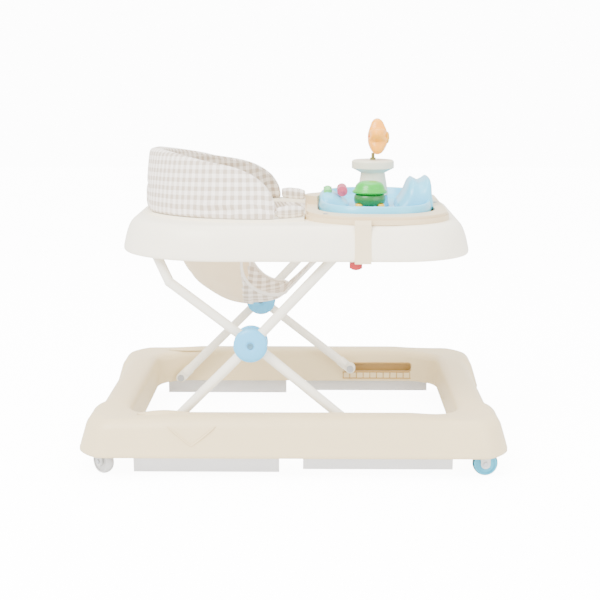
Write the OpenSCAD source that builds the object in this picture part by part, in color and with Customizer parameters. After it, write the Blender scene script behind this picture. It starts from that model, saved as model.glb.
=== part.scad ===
// Baby walker: moulded base ring on four casters, folding X frame of two bent steel tubes,
// tray body with a fabric seat, and a clip-on play tray with toys.
// +X is forward (toy end), +Y is the child's left, +Z is up. Origin: floor, centre of the base. Millimetres.

/* [Base] */
// overall length of the base, over the corner pods
base_l = 690; // [600:5:830]
// overall width of the base
base_w = 600; // [500:5:720]
// height of the base rail's crest above the floor
base_h = 96; // [90:1:115]
// height of the base's lower edge above the floor
base_edge = 34; // [30:1:38]
// width of the base rail at its lower edge
rail_w = 66; // [56:1:79]
// plastic wall thickness of the moulded shells
wall = 3; // [2.5:0.1:3.6]
// radius of the base opening's corners
open_r = 58; // [48:1:70]
// radius of the corner pods
pod_r = 53; // [50:1:58]
// how far the pods stand out past the end rails
pod_out = 12; // [8:1:14]

/* [Casters] */
// diameter of a wheel over its tyre
wheel_d = 40.4; // [34:0.2:44]
// width of a wheel
wheel_w = 14; // [12:0.5:17]
// distance from the swivel axis back to the axle
trail = 8; // [6:0.5:9]
// turn of the rear casters at rest, in degrees
rear_turn = 45; // [0:5:60]

/* [Frame] */
// outside diameter of the frame tubes
tube_d = 16; // [14:0.5:19]
// wall of the frame tubes
tube_t = 1.4; // [1:0.1:1.7]
// distance from the middle of the walker to the plane between the two crossed tubes
frame_y = 210.5; // [180:0.5:250]
// height of the rear pivot on the base
pivot_z = 43; // [41:1:48]
// height of the crossing pivot
cross_z = 200.5; // [180:1:215]
// height of the tray's two frame pivots
top_z = 357; // [340:1:380]
// diameter of the round caps over the crossing
cap_d = 55; // [46:1:60]

/* [Tray] */
// length of the tray body
tray_l = 576; // [520:2:690]
// width of the tray body at its lower edge
tray_w = 502; // [490:2:600]
// height of the tray's top face above the frame pivots
tray_up = 38; // [35:1:45]
// depth of the tray's outer skirt
skirt_h = 56; // [47:1:60]
// how far the skirt flares outward from top to bottom
flare = 20; // [14:1:24]
// radius of the seat opening
seat_r = 160; // [134:1:168]

/* [Seat] */
// height of the backrest at the rear, above the tray
back_h = 108; // [90:1:130]
// thickness of the padded backrest
pad_t = 22; // [18:1:26]
// depth of the fabric seat below the tray
pouch_r = 150; // [128:1:153]

/* [Play tray] */
// length of the play tray, front to back
play_l = 238; // [200:2:250]
// thickness of the play tray's rim
play_t = 13; // [11:0.5:16]
// diameter of the round table's cap
table_d = 73; // [61:1:87]
// height of the flower head
flower_h = 66; // [55:1:79]
// diameter of the rattling turtle's shell
turtle_d = 57; // [48:1:66]

/* [Hidden] */
$fn = 48;
eps = 0.01;
fold_max = 33;
fold_ratio = 0.95;
gap = 0.5;

// frame line: rear pivot, crossing, lower slider, rear top pivot, front top slider
slide_z = pivot_z + 19;
rise = cross_z - pivot_z;
drop = cross_z - slide_z;
lift = top_z - cross_z;
reach_low = rise * 0.9969 + drop * 1.2383;
pivot_dx = -(rise * 0.9969);
slide_dx = drop * 1.2383;
rear_dx = -(lift * 1.0288);
front_dx = lift * 0.9425;
lb = sqrt(rise * rise + pivot_dx * pivot_dx);
la = sqrt(drop * drop + slide_dx * slide_dx);
lt = sqrt(lift * lift + rear_dx * rear_dx);
lf = sqrt(lift * lift + front_dx * front_dx);
ang_b = atan2(rise, -pivot_dx);
ang_a = atan2(drop, slide_dx);
ang_t = atan2(lift, -rear_dx);
ang_f = atan2(lift, front_dx);
travel_c = lb * cos(ang_b - fold_max) + pivot_dx;
stroke_low = travel_c + la * cos(ang_a - fold_ratio * fold_max) - slide_dx;
stroke_up = lf * cos(ang_f - fold_max) + lt * cos(ang_t - fold_ratio * fold_max) - front_dx + rear_dx;

// base plan
need_l = reach_low + stroke_low + 96;
open_hl = max(base_l / 2 - pod_out - rail_w, need_l / 2);
half_l = open_hl + rail_w + pod_out;
open_hw = max(base_w / 2 - rail_w, frame_y + tube_d + 7.5);
half_w = open_hw + rail_w;
pod_x = half_l - pod_r;
pod_y = half_w - pod_r - 1.5;
slope = 21;
r_in = 14;
r_out = 26;
crest = max(base_h, base_edge + 56);

// frame positions
pivot_x = -(reach_low + stroke_low) / 2 - 8;
cross_x = pivot_x - pivot_dx;
slide_x = cross_x + slide_dx;
rear_x = cross_x + rear_dx;
front_x = cross_x + front_dx;
side = tube_d / 2 + gap;
out_y = frame_y + side;
in_y = frame_y - side;
flat_t = 6;
pin_d = 8;
bend_x = rear_x + 30;
bend_z = top_z - 57;
end_y = out_y;
roller_d = 11;
slot_h = roller_d + 3.4;

// casters
axle_z = wheel_d / 2;
reach_x = trail + sqrt(max(0, axle_z * axle_z - (base_edge - axle_z) * (base_edge - axle_z)));
swing = sqrt(reach_x * reach_x + wheel_w * wheel_w / 4);
stem_x = half_l - max(pod_r - 6, swing + 5);
stem_y = half_w - max(31, swing + 6.5);
stem_d = 8;
fork_t = 3;
fork_w = wheel_w + 1 + 2 * fork_t;
crown_z = wheel_d + 1.5;
boss_z = crown_z + 7;

// tray
tray_z = top_z + tray_up;
skirt_z = tray_z - skirt_h;
tray_rear = rear_x - 58;
track_end = front_x + stroke_up + tube_d / 2 + 2;
tray_front = max(tray_rear + tray_l, track_end + 66);
tray_hw = max(tray_w / 2, out_y + tube_d / 2 + 22);
top_hw = tray_hw - flare;
seat_cx = max(rear_x + tube_d / 2 + 5 + pouch_r, tray_rear + flare + 8 + seat_r + 20);
seat_front = front_x - tube_d / 2 - 6;
knob_x = front_x + 20.5;
knob_y = tray_hw - 13.5;
pouch_z = tray_z - 16;

// seat
back_r = seat_r + 28;
ring_t = 4;
back_z = tray_z + ring_t;
back_front = seat_cx + 38;

// play tray
play_z = tray_z;
play_x0 = seat_cx + 84;
play_x1 = max(play_x0 + play_l, play_x0 + 200);
play_cx = (play_x0 + play_x1) / 2;
play_hx = (play_x1 - play_x0) / 2;
play_top = play_z + play_t;
play_hw = top_hw - 3;
cons_z = play_z + 6;
cons_hx = play_hx - 22;
cons_hw = play_hw - 48;
screw_at = [[play_x0 + 34, -(play_hw - 44)], [play_x0 + 34, play_hw - 44], [play_x1 - 12, 0]];
table_x = play_cx - 2;
table_z = play_top + 74;
turtle_x = play_cx - 11;
turtle_y = -105;

// ---------- helpers ----------
module both() {
  children();
  mirror([0, 1, 0]) children();
}
module rod(p, q, d) {
  v = q - p;
  l = norm(v);
  translate(p)
    rotate([0, acos(v[2] / l), atan2(v[1], v[0])])
      cylinder(d = d, h = l);
}
module ycyl(x, z, y0, y1, d) {
  translate([x, y0, z])
    rotate([-90, 0, 0])
      cylinder(d = d, h = y1 - y0);
}
module box(x0, x1, y0, y1, z0, z1) {
  translate([x0, y0, z0]) cube([x1 - x0, y1 - y0, z1 - z0]);
}
module round_rect(x0, x1, hw, r0, r1) {
  // plan with corner radius r0 at x0 and r1 at x1
  for (s = [-1, 1]) {
    translate([x0 + r0, s * (hw - r0)]) circle(r = r0);
    translate([x1 - r1, s * (hw - r1)]) circle(r = r1);
  }
  polygon([[x0, -hw + r0], [x0 + r0, -hw], [x1 - r1, -hw], [x1, -hw + r1],
           [x1, hw - r1], [x1 - r1, hw], [x0 + r0, hw], [x0, hw - r0]]);
}
module slab(x0, x1, hw, r0, r1, z0, z1) {
  translate([0, 0, z0]) linear_extrude(z1 - z0) round_rect(x0, x1, hw, r0, r1);
}

// ---------- base ----------
// rail cross-section: u is measured outward from the inner wall, inset t, lower end at z0
module rail_profile(t, z0) {
  cu = rail_w - (r_out + (crest - r_out - base_edge) * sin(slope)) / cos(slope);
  cv = crest - r_out;
  ub = cu + (r_out - t + (cv - z0) * sin(slope)) / cos(slope);
  translate([r_in, crest - r_in]) circle(r = r_in - t);
  translate([cu, cv]) circle(r = r_out - t);
  polygon([[t, z0], [t, crest - r_in], [r_in, crest - t], [cu, crest - t],
           [cu + (r_out - t) * cos(slope), cv + (r_out - t) * sin(slope)], [ub, z0]]);
}
module pod_profile(t, z0) {
  cv = crest - 2 - r_out;
  cu = pod_r - (r_out + (cv - base_edge) * sin(slope)) / cos(slope);
  ub = cu + (r_out - t + (cv - z0) * sin(slope)) / cos(slope);
  intersection() {
    union() {
      translate([cu, cv]) circle(r = r_out - t);
      polygon([[0, z0], [0, crest - 2 - t], [cu, crest - 2 - t],
               [cu + (r_out - t) * cos(slope), cv + (r_out - t) * sin(slope)], [ub, z0]]);
    }
    translate([0, z0]) square([pod_r * 2, crest * 2]);
  }
}
module base_form(t, z0) {
  sx = open_hl - open_r;
  sy = open_hw - open_r;
  both() {
    translate([-sx, open_hw, 0])
      rotate([90, 0, 90])
        linear_extrude(2 * sx) rail_profile(t, z0);
  }
  for (a = [0, 180])
    rotate([0, 0, a])
      translate([open_hl, sy, 0])
        rotate([90, 0, 0])
          linear_extrude(2 * sy) rail_profile(t, z0);
  for (q = [[1, 1, 0], [-1, 1, 90], [-1, -1, 180], [1, -1, 270]]) {
    translate([q[0] * sx, q[1] * sy, 0])
      rotate([0, 0, q[2]])
        rotate_extrude(angle = 90)
          translate([open_r, 0]) rail_profile(t, z0);
  }
  for (i = [-1, 1], j = [-1, 1])
    translate([i * pod_x, j * pod_y, 0]) rotate_extrude() pod_profile(t, z0);
}
module base_shell() color([0.90, 0.87, 0.82]) {
  difference() {
    union() {
      difference() {
        base_form(0, base_edge);
        base_form(wall, base_edge - 5);
      }
      // stem sockets in the pods
      for (i = [-1, 1], j = [-1, 1])
        translate([i * stem_x, j * stem_y, boss_z]) cylinder(d = stem_d + 8, h = crest - 3.5 - boss_z);
      // ribs that carry the stopper strips
      both()
        for (s = [[stop_x0, stop_x1], [stop_x2, stop_x3]])
          box(s[0] + 4, s[1] - 4, stop_y - 1.5, stop_y + 1.5, base_edge + 10, crest - 2);
      // rear pivot bosses
      both() ycyl(pivot_x, pivot_z, out_y + flat_t / 2 + 0.3, open_hw + wall, 20);
    }
    // stem bores
    for (i = [-1, 1], j = [-1, 1])
      translate([i * stem_x, j * stem_y, boss_z - 1]) cylinder(d = stem_d + 0.1, h = 25);
    // pivot bores
    both() ycyl(pivot_x, pivot_z, open_hw - 30, open_hw + wall + 5, pin_d);
    // slide slots, with round ends
    both() {
      ycyl(slide_x - 5, slide_z - 0.5, open_hw - 5, open_hw + wall + 5, slot_h);
      ycyl(slide_x + stroke_low + 5, slide_z - 0.5, open_hw - 5, open_hw + wall + 5, slot_h);
      box(slide_x - 5, slide_x + stroke_low + 5, open_hw - 5, open_hw + wall + 5,
          slide_z - 0.5 - slot_h / 2, slide_z - 0.5 + slot_h / 2);
      // row of small cells under the slot
      for (k = [0:9])
        box(slide_x - 10 + k * (stroke_low + 20) / 10 + 2.5, slide_x - 10 + (k + 1) * (stroke_low + 20) / 10 - 1,
            open_hw - 1, open_hw + 1.2, slide_z - slot_h / 2 - 14, slide_z - slot_h / 2 - 5.5);
    }
  }
}

// ---------- stopper strips ----------
stop_y = open_hw + rail_w * 0.5;
stop_x0 = -open_hl + 12;
stop_x1 = -22;
stop_x2 = 16;
stop_x3 = open_hl - 12;
module stopper(x0, x1, low) {
  top = base_edge + 22;
  difference() {
    box(x0, x1, stop_y - 4.5, stop_y + 4.5, base_edge + 3, top);
    box(x0 - 1, x1 + 1, stop_y - 1.5, stop_y + 1.5, base_edge + 10, top + 1);
  }
  translate([x0, 0, 0])
    rotate([90, 0, 90])
      linear_extrude(x1 - x0)
        polygon([[stop_y - 3, base_edge + 5], [stop_y + 4.5, base_edge + 5], [stop_y + 0.5, low], [stop_y - 4.5, low]]);
}
module stopper_rear_left() color([0.88, 0.88, 0.88]) stopper(stop_x0, stop_x1, 3);
module stopper_rear_right() color([0.88, 0.88, 0.88]) mirror([0, 1, 0]) stopper(stop_x0, stop_x1, 3);
module stopper_front_left() color([0.88, 0.88, 0.88]) stopper(stop_x2, stop_x3, 8);
module stopper_front_right() color([0.88, 0.88, 0.88]) mirror([0, 1, 0]) stopper(stop_x2, stop_x3, 8);

// ---------- rear pivot ----------
module pivot_bolts() color([0.75, 0.75, 0.77]) both() {
  ycyl(pivot_x, pivot_z, out_y - flat_t / 2 - 0.4, open_hw + wall + 9, pin_d);
  ycyl(pivot_x, pivot_z, out_y - flat_t / 2 - 4.4, out_y - flat_t / 2 - 0.4, 13);
}
module pivot_nuts() color([0.7, 0.7, 0.72]) both() difference() {
  ycyl(pivot_x, pivot_z, open_hw + wall, open_hw + wall + 6, 15);
  ycyl(pivot_x, pivot_z, open_hw, open_hw + wall + 10, pin_d);
}

// ---------- casters ----------
// drawn with the swivel axis on Z through the origin and the wheel trailing towards +X
module stem_part() {
  difference() {
    union() {
      translate([0, 0, crown_z - 1.6]) cylinder(d = stem_d, h = boss_z - crown_z + 19.6);
      translate([0, 0, crown_z + 3]) cylinder(d = stem_d + 4, h = boss_z - crown_z - 3.3);
    }
  }
}
module fork_part() {
  difference() {
    union() {
      for (s = [-1, 1])
        translate([0, s * (fork_w / 2 - fork_t / 2), 0]) {
          ycyl(trail, axle_z, -fork_t / 2, fork_t / 2, 15);
          box(trail - 7.5, trail + 7.5, -fork_t / 2, fork_t / 2, axle_z, crown_z);
          box(-7.5, trail, -fork_t / 2, fork_t / 2, crown_z - 4, crown_z + 3);
        }
      translate([0, 0, crown_z - 0.5]) cylinder(d = fork_w, h = 3.5);
      box(0, trail + 7.5, -fork_w / 2, fork_w / 2, crown_z - 0.5, crown_z + 3);
    }
    translate([0, 0, crown_z - 2]) cylinder(d = stem_d, h = 10);
    translate([trail, 0, axle_z]) rotate([-90, 0, 0]) cylinder(d = 4, h = 60, center = true);
    translate([trail, 0, axle_z]) rotate([-90, 0, 0]) cylinder(d = wheel_d + 1.6, h = wheel_w + 1, center = true);
  }
}
module axle_part() {
  ycyl(trail, axle_z, -fork_w / 2 - 1, fork_w / 2 + 1, 4);
  for (s = [-1, 1]) ycyl(trail, axle_z, s * (fork_w / 2 + 1) - 1, s * (fork_w / 2 + 1) + 1, 7);
}
module wheel_part() {
  difference() {
    ycyl(trail, axle_z, -wheel_w / 2, wheel_w / 2, wheel_d - 4);
    for (s = [-1, 1])
      translate([trail, s * (wheel_w / 2 + 0.5), axle_z]) rotate([-90, 0, 0]) difference() {
        cylinder(d = wheel_d - 9, h = 5, center = true);
        cylinder(d = 9, h = 6, center = true);
      }
    ycyl(trail, axle_z, -wheel_w, wheel_w, 4.1);
  }
}
module tyre_part() {
  translate([trail, 0, axle_z])
    rotate([-90, 0, 0])
      rotate_extrude()
        translate([wheel_d / 2 - 2, 0]) intersection() {
          translate([0, -wheel_w / 2]) square([2, wheel_w]);
          translate([-wheel_w * 0.9 + 2, 0]) circle(r = wheel_w * 0.9);
        }
}
module at_caster(i, j, turn) translate([i * stem_x, j * stem_y, 0]) rotate([0, 0, turn]) children();
turn_rl = 180 - rear_turn;
turn_rr = 180 + rear_turn;
module caster_stem_fl() color([0.75, 0.75, 0.77]) at_caster(1, 1, 0) stem_part();
module caster_stem_fr() color([0.75, 0.75, 0.77]) at_caster(1, -1, 0) stem_part();
module caster_stem_rl() color([0.75, 0.75, 0.77]) at_caster(-1, 1, turn_rr) stem_part();
module caster_stem_rr() color([0.75, 0.75, 0.77]) at_caster(-1, -1, turn_rl) stem_part();
module caster_fork_fl() color([0.2, 0.35, 0.4]) at_caster(1, 1, 0) fork_part();
module caster_fork_fr() color([0.2, 0.35, 0.4]) at_caster(1, -1, 0) fork_part();
module caster_fork_rl() color([0.85, 0.85, 0.85]) at_caster(-1, 1, turn_rr) fork_part();
module caster_fork_rr() color([0.85, 0.85, 0.85]) at_caster(-1, -1, turn_rl) fork_part();
module caster_axle_fl() color([0.8, 0.8, 0.82]) at_caster(1, 1, 0) axle_part();
module caster_axle_fr() color([0.8, 0.8, 0.82]) at_caster(1, -1, 0) axle_part();
module caster_axle_rl() color([0.8, 0.8, 0.82]) at_caster(-1, 1, turn_rr) axle_part();
module caster_axle_rr() color([0.8, 0.8, 0.82]) at_caster(-1, -1, turn_rl) axle_part();
module caster_wheel_fl() color([0.65, 0.87, 0.92]) at_caster(1, 1, 0) wheel_part();
module caster_wheel_fr() color([0.65, 0.87, 0.92]) at_caster(1, -1, 0) wheel_part();
module caster_wheel_rl() color([0.9, 0.9, 0.9]) at_caster(-1, 1, turn_rr) wheel_part();
module caster_wheel_rr() color([0.9, 0.9, 0.9]) at_caster(-1, -1, turn_rl) wheel_part();
module caster_tyre_fl() color([0.2, 0.55, 0.6]) at_caster(1, 1, 0) tyre_part();
module caster_tyre_fr() color([0.2, 0.55, 0.6]) at_caster(1, -1, 0) tyre_part();
module caster_tyre_rl() color([0.85, 0.85, 0.86]) at_caster(-1, 1, turn_rr) tyre_part();
module caster_tyre_rr() color([0.85, 0.85, 0.86]) at_caster(-1, -1, turn_rl) tyre_part();

// ---------- frame ----------
// closed U of steel tube: two legs and a crossbar, with flattened and bored lower ends
module front_path(d) {
  both() {
    rod([pivot_x + 13 * cos(ang_b), out_y, pivot_z + 13 * sin(ang_b)], [cross_x, out_y, cross_z], d);
    translate([cross_x, out_y, cross_z]) sphere(d = d);
    rod([cross_x, out_y, cross_z], [front_x, out_y, top_z], d);
    translate([front_x, out_y, top_z]) sphere(d = d);
  }
  ycyl(front_x, top_z, -out_y, out_y, d);
}
module frame_front_tube() color([0.93, 0.94, 0.95]) {
  difference() {
    union() {
      difference() {
        front_path(tube_d);
        front_path(tube_d - 2 * tube_t);
      }
      both() translate([pivot_x, out_y, pivot_z]) rotate([0, -ang_b, 0]) {
        rotate([90, 0, 0]) cylinder(d = tube_d + 2, h = flat_t, center = true);
        translate([0, -flat_t / 2, -tube_d / 2 - 1]) cube([26, flat_t, tube_d + 2]);
      }
    }
    both() {
      ycyl(pivot_x, pivot_z, out_y - 20, out_y + 20, pin_d + 0.1);
      ycyl(cross_x, cross_z, out_y - 20, out_y + 20, 6);
    }
  }
}
low_end = [slide_x - 13 * cos(ang_a), end_y, slide_z + 13 * sin(ang_a)];
cross_in = [cross_x, in_y, cross_z];
bend_in = [bend_x, in_y, bend_z];
rear_y = in_y - 22;
rear_in = [rear_x, rear_y, top_z];
module rear_path(d, ball) {
  both() {
    rod(low_end, cross_in, d);
    translate(cross_in) sphere(d = d + ball);
    rod(cross_in, bend_in, d);
    translate(bend_in) sphere(d = d + ball);
    rod(bend_in, rear_in, d);
    translate(rear_in) sphere(d = d + ball);
  }
  ycyl(rear_x, top_z, -rear_y, rear_y, d);
}
module frame_rear_tube() color([0.93, 0.94, 0.95]) {
  difference() {
    union() {
      difference() {
        rear_path(tube_d, 0.5);
        rear_path(tube_d - 2 * tube_t, 0.3);
      }
      both() translate([slide_x, end_y, slide_z]) rotate([0, 180 + ang_a, 0]) {
        rotate([90, 0, 0]) cylinder(d = tube_d + 2, h = flat_t, center = true);
        translate([0, -flat_t / 2, -tube_d / 2 - 1]) cube([26, flat_t, tube_d + 2]);
      }
    }
    both() {
      ycyl(slide_x, slide_z, end_y - 20, end_y + 20, pin_d);
      ycyl(cross_x, cross_z, in_y - 20, in_y + 20, 6.1);
    }
  }
}
module cross_rivets() color([0.7, 0.7, 0.72]) both() {
  ycyl(cross_x, cross_z, in_y - tube_d / 2 - 3, out_y + tube_d / 2 + 3, 6);
  ycyl(cross_x, cross_z, out_y + tube_d / 2 + 0.2, out_y + tube_d / 2 + 3, 11);
  ycyl(cross_x, cross_z, in_y - tube_d / 2 - 3, in_y - tube_d / 2 - 0.2, 11);
}
// domed cover: disc with a shallow dome, hollowed for the tube and the rivet head
module dome(y_in, y_rim, y_top) {
  sag = y_top - y_rim;
  r = cap_d / 2;
  rs = (r * r + sag * sag) / (2 * sag);
  intersection() {
    ycyl(cross_x, cross_z, y_in, y_top + 1, cap_d);
    union() {
      ycyl(cross_x, cross_z, y_in, y_rim, cap_d);
      translate([cross_x, y_top - rs, cross_z]) sphere(r = rs, $fn = 96);
    }
  }
}
cap_rim = tube_d / 2 - 1.5;
cap_top = tube_d / 2 + 5.5;
module cap_outer_left() color([0.67, 0.85, 0.93]) difference() {
  dome(out_y + 1, out_y + cap_rim, out_y + cap_top);
  front_path(tube_d);
  ycyl(cross_x, cross_z, out_y, out_y + tube_d / 2 + 3.3, 13);
  ycyl(cross_x, cross_z, out_y, out_y + cap_top + 5, 4);
}
module cap_outer_right() color([0.67, 0.85, 0.93]) mirror([0, 1, 0]) difference() {
  dome(out_y + 1, out_y + cap_rim, out_y + cap_top);
  front_path(tube_d);
  ycyl(cross_x, cross_z, out_y, out_y + tube_d / 2 + 3.3, 13);
  ycyl(cross_x, cross_z, out_y, out_y + cap_top + 5, 4);
}
module inner_cap() difference() {
  translate([0, 2 * in_y, 0]) mirror([0, 1, 0]) dome(in_y + 1, in_y + cap_rim, in_y + cap_top);
  rod(low_end, cross_in, tube_d);
  rod(cross_in, bend_in, tube_d);
  translate(cross_in) sphere(d = tube_d + 0.6);
  ycyl(cross_x, cross_z, in_y - tube_d / 2 - 3.3, in_y, 13);
  ycyl(cross_x, cross_z, in_y - cap_top - 5, in_y, 4);
}
module cap_inner_left() color([0.67, 0.85, 0.93]) inner_cap();
module cap_inner_right() color([0.67, 0.85, 0.93]) mirror([0, 1, 0]) inner_cap();

module slider_bolts() color([0.75, 0.75, 0.77]) both() {
  ycyl(slide_x, slide_z, end_y - flat_t / 2 - 4, end_y - flat_t / 2, 13);
  ycyl(slide_x, slide_z, end_y - flat_t / 2 - 4, open_hw + wall + 3.5, pin_d);
  ycyl(slide_x, slide_z, open_hw + wall + 3.5, open_hw + wall + 7, 18);
}
module slider_rollers() color([0.9, 0.9, 0.88]) both() difference() {
  union() {
    ycyl(slide_x, slide_z, end_y + flat_t / 2, open_hw + wall + 3.5, roller_d);
    ycyl(slide_x, slide_z, end_y + flat_t / 2, open_hw - 2.2, slot_h + 6);
  }
  ycyl(slide_x, slide_z, end_y, open_hw + wall + 10, pin_d);
}

// ---------- tray ----------
rear_r = 170;
front_r = 120;
round_t = 10;
lean = atan2(flare - 4, skirt_h);
// skirt cross-section: u is measured outward from the skirt's lower edge, inset t, lower end at zb
module tray_profile(t, zb) {
  cz = tray_z - round_t;
  cu = (-round_t - (cz - skirt_z) * sin(lean)) / cos(lean);
  ub = (-t - (zb - skirt_z) * sin(lean)) / cos(lean);
  translate([cu, cz]) circle(r = round_t - t);
  polygon([[-60, zb], [-60, tray_z - t], [cu, tray_z - t],
           [cu + (round_t - t) * cos(lean), cz + (round_t - t) * sin(lean)], [ub, zb]]);
}
module tray_form(t, zb) {
  sy0 = tray_hw - rear_r;
  sy1 = tray_hw - front_r;
  x0 = tray_rear + rear_r;
  x1 = tray_front - front_r;
  both()
    translate([x0, tray_hw, 0])
      rotate([90, 0, 90])
        linear_extrude(x1 - x0) tray_profile(t, zb);
  translate([tray_front, sy1, 0])
    rotate([90, 0, 0])
      linear_extrude(2 * sy1) tray_profile(t, zb);
  translate([tray_rear, -sy0, 0])
    rotate([90, 0, 180])
      linear_extrude(2 * sy0) tray_profile(t, zb);
  for (q = [[x1, sy1, 0, front_r], [x0, sy0, 90, rear_r], [x0, -sy0, 180, rear_r], [x1, -sy1, 270, front_r]])
    translate([q[0], q[1], 0])
      rotate([0, 0, q[2]])
        rotate_extrude(angle = 90)
          translate([q[3], 0]) tray_profile(t, zb);
  slab(tray_rear + 45, tray_front - 45, tray_hw - 45, rear_r - 45, front_r - 45, zb, tray_z - t);
}
module seat_hole(r, z0, z1) intersection() {
  translate([seat_cx, 0, z0]) cylinder(r = r, h = z1 - z0);
  box(seat_cx - 2 * r, seat_front + r - seat_r, -2 * r, 2 * r, z0 - 1, z1 + 1);
}
module tray_body() color([0.95, 0.94, 0.92]) difference() {
  tray_form(0, skirt_z);
  difference() {
    tray_form(wall, skirt_z - 5);
    // well wall around the seat opening
    difference() {
      seat_hole(seat_r + wall, tray_z - 22, tray_z);
      seat_hole(seat_r, tray_z - 30, tray_z + 1);
    }
    // guides for the lock knobs
    both() translate([knob_x, knob_y - 5, tray_z - 28]) cylinder(d = 14, h = 30);
    // posts for the play tray's screws
    for (q = screw_at)
      translate([q[0], q[1], tray_z - 18]) cylinder(d = 9, h = 20);
  }
  seat_hole(seat_r, tray_z - 30, tray_z + 1);
  for (q = screw_at)
    translate([q[0], q[1], tray_z - 20]) cylinder(d = 3.5, h = 30);
  both() translate([knob_x, knob_y - 5, tray_z - 32]) cylinder(d = 8.1, h = 18);
  // slots for the seat pegs
  for (a = peg_angles)
    translate([seat_cx, 0, tray_z - wall - 1]) rotate([0, 0, a])
      translate([seat_r + 12, 0, 0]) cylinder(d = 6, h = wall + 2);
  // window in the skirt for the play tray's side clips
  both() box(clip_x - clip_w / 2 - 0.5, clip_x + clip_w / 2 + 0.5, tray_hw - 30, tray_hw + 5, skirt_z - 1, skirt_z + 3);
}
clip_x = play_cx - 26;
clip_w = 26;

module rear_saddles() color([0.85, 0.85, 0.85]) for (y = [-120, 120]) difference() {
  union() {
    ycyl(rear_x, top_z, y - 12, y + 12, tube_d + 8);
    box(rear_x - tube_d / 2 - 4, rear_x + tube_d / 2 + 4, y - 12, y + 12, top_z, tray_z - wall);
  }
  ycyl(rear_x, top_z, y - 20, y + 20, tube_d + 0.1);
}
module front_tracks() color([0.85, 0.85, 0.85]) both() difference() {
  union() {
    box(front_x - 22, track_end + 14, 158, 162, top_z - tube_d / 2 - 10, tray_z - wall);
    box(front_x - 22, track_end + 14, 150, 170, tray_z - wall - 3, tray_z - wall);
  }
  ycyl(front_x, top_z + 0.4, 140, 180, tube_d + 2.6);
  ycyl(track_end - tube_d / 2 + 1, top_z + 0.4, 140, 180, tube_d + 2.6);
  box(front_x, track_end - tube_d / 2 + 1, 140, 180,
      top_z + 0.4 - tube_d / 2 - 1.3, top_z + 0.4 + tube_d / 2 + 1.3);
}
// lock knob: red pull with a spring-loaded stem in a guide of the tray
module knob() {
  translate([knob_x, knob_y, skirt_z - 13]) {
    intersection() {
      translate([-10, -7, 0]) cube([20, 14, 15]);
      translate([0, 0, 16]) rotate([90, 0, 0]) cylinder(r = 16, h = 20, center = true);
    }
  }
  translate([knob_x, knob_y - 5, skirt_z - 4]) cylinder(d = 8, h = tray_z - skirt_z - wall - 10);
}
module lock_knob_left() color([0.8, 0.18, 0.2]) knob();
module lock_knob_right() color([0.8, 0.18, 0.2]) mirror([0, 1, 0]) knob();

// ---------- seat ----------
peg_angles = [75, 120, 180, 240, 285];
module seat_ring() color([0.96, 0.96, 0.95]) difference() {
  union() {
    intersection() {
      translate([seat_cx, 0, tray_z]) cylinder(r = back_r + 3, h = ring_t);
      box(seat_cx - back_r - 5, play_x0 - 0.5, -back_r - 5, back_r + 5, tray_z - 1, tray_z + ring_t + 1);
    }
    seat_hole(seat_r - 0.4, tray_z - 14, tray_z);
  }
  seat_hole(pouch_r, tray_z - 20, tray_z + ring_t + 1);
  for (a = peg_angles)
    translate([seat_cx, 0, tray_z - 1]) rotate([0, 0, a])
      translate([seat_r + 12, 0, 0]) cylinder(d = 5, h = ring_t + 2);
}
// padded backrest: wall swept round the seat, its top cut on a slope and rounded
module seat_backrest() color([0.9, 0.88, 0.86]) intersection() {
  union() {
    translate([seat_cx, 0, 0]) rotate([0, 0, 90]) rotate_extrude(angle = 180)
      pad_section();
    both() translate([seat_cx, 0, 0]) rotate([90, 0, 90])
      linear_extrude(back_front - seat_cx) pad_section();
  }
  translate([0, 400, 0]) rotate([90, 0, 0]) linear_extrude(800) back_side();
}
module pad_section() {
  translate([back_r - pad_t, back_z]) square([pad_t, back_h]);
}
// side view of the backrest: upright at the rear, falling towards the front
module back_side() {
  x0 = seat_cx - back_r - 1;
  x1 = back_front + 1;
  r0 = back_h * 0.22;
  r1 = back_h * 0.4;
  intersection() {
    translate([x0, back_z - 1]) square([x1 - x0, back_h + 2]);
    union() {
      translate([x0 + r0, back_z + back_h - r0]) circle(r = r0);
      translate([x1 - r1, back_z + back_h * 0.54 - r1 + 4]) circle(r = r1);
      polygon([[x0, back_z - 1], [x0, back_z + back_h - r0], [x0 + r0 + r0 * sin(16), back_z + back_h - r0 + r0 * cos(16)],
               [x1 - r1 + r1 * sin(30), back_z + back_h * 0.54 - r1 + 4 + r1 * cos(30)],
               [x1, back_z + back_h * 0.54 - r1 + 4], [x1, back_z - 1]]);
    }
  }
}
module seat_collar() color([0.88, 0.85, 0.8]) both() {
  // padded side roll from the backrest to the play tray
  intersection() {
    rod([back_front - 2, back_r - 13, back_z + 9], [play_x0 + 2, back_r - 46, back_z + 7], 18);
    box(back_front + 0.4, play_x0 - 0.4, 0, back_r + 30, back_z, back_z + 60);
  }
}
module pouch_form(r, front) intersection() {
  union() {
    translate([seat_cx, 0, pouch_z]) sphere(r = r, $fn = 96);
    translate([seat_cx, 0, pouch_z]) cylinder(r = r, h = 60);
  }
  box(seat_cx - 2 * r, front, -2 * r, 2 * r, 0, tray_z + ring_t - 1);
}
module pouch_hollow(r, front) intersection() {
  union() {
    translate([seat_cx, 0, pouch_z]) sphere(r = r, $fn = 96);
    translate([seat_cx, 0, pouch_z]) cylinder(r = r, h = 70);
  }
  box(seat_cx - 2 * r, front, -2 * r, 2 * r, 0, tray_z + 60);
}
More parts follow.
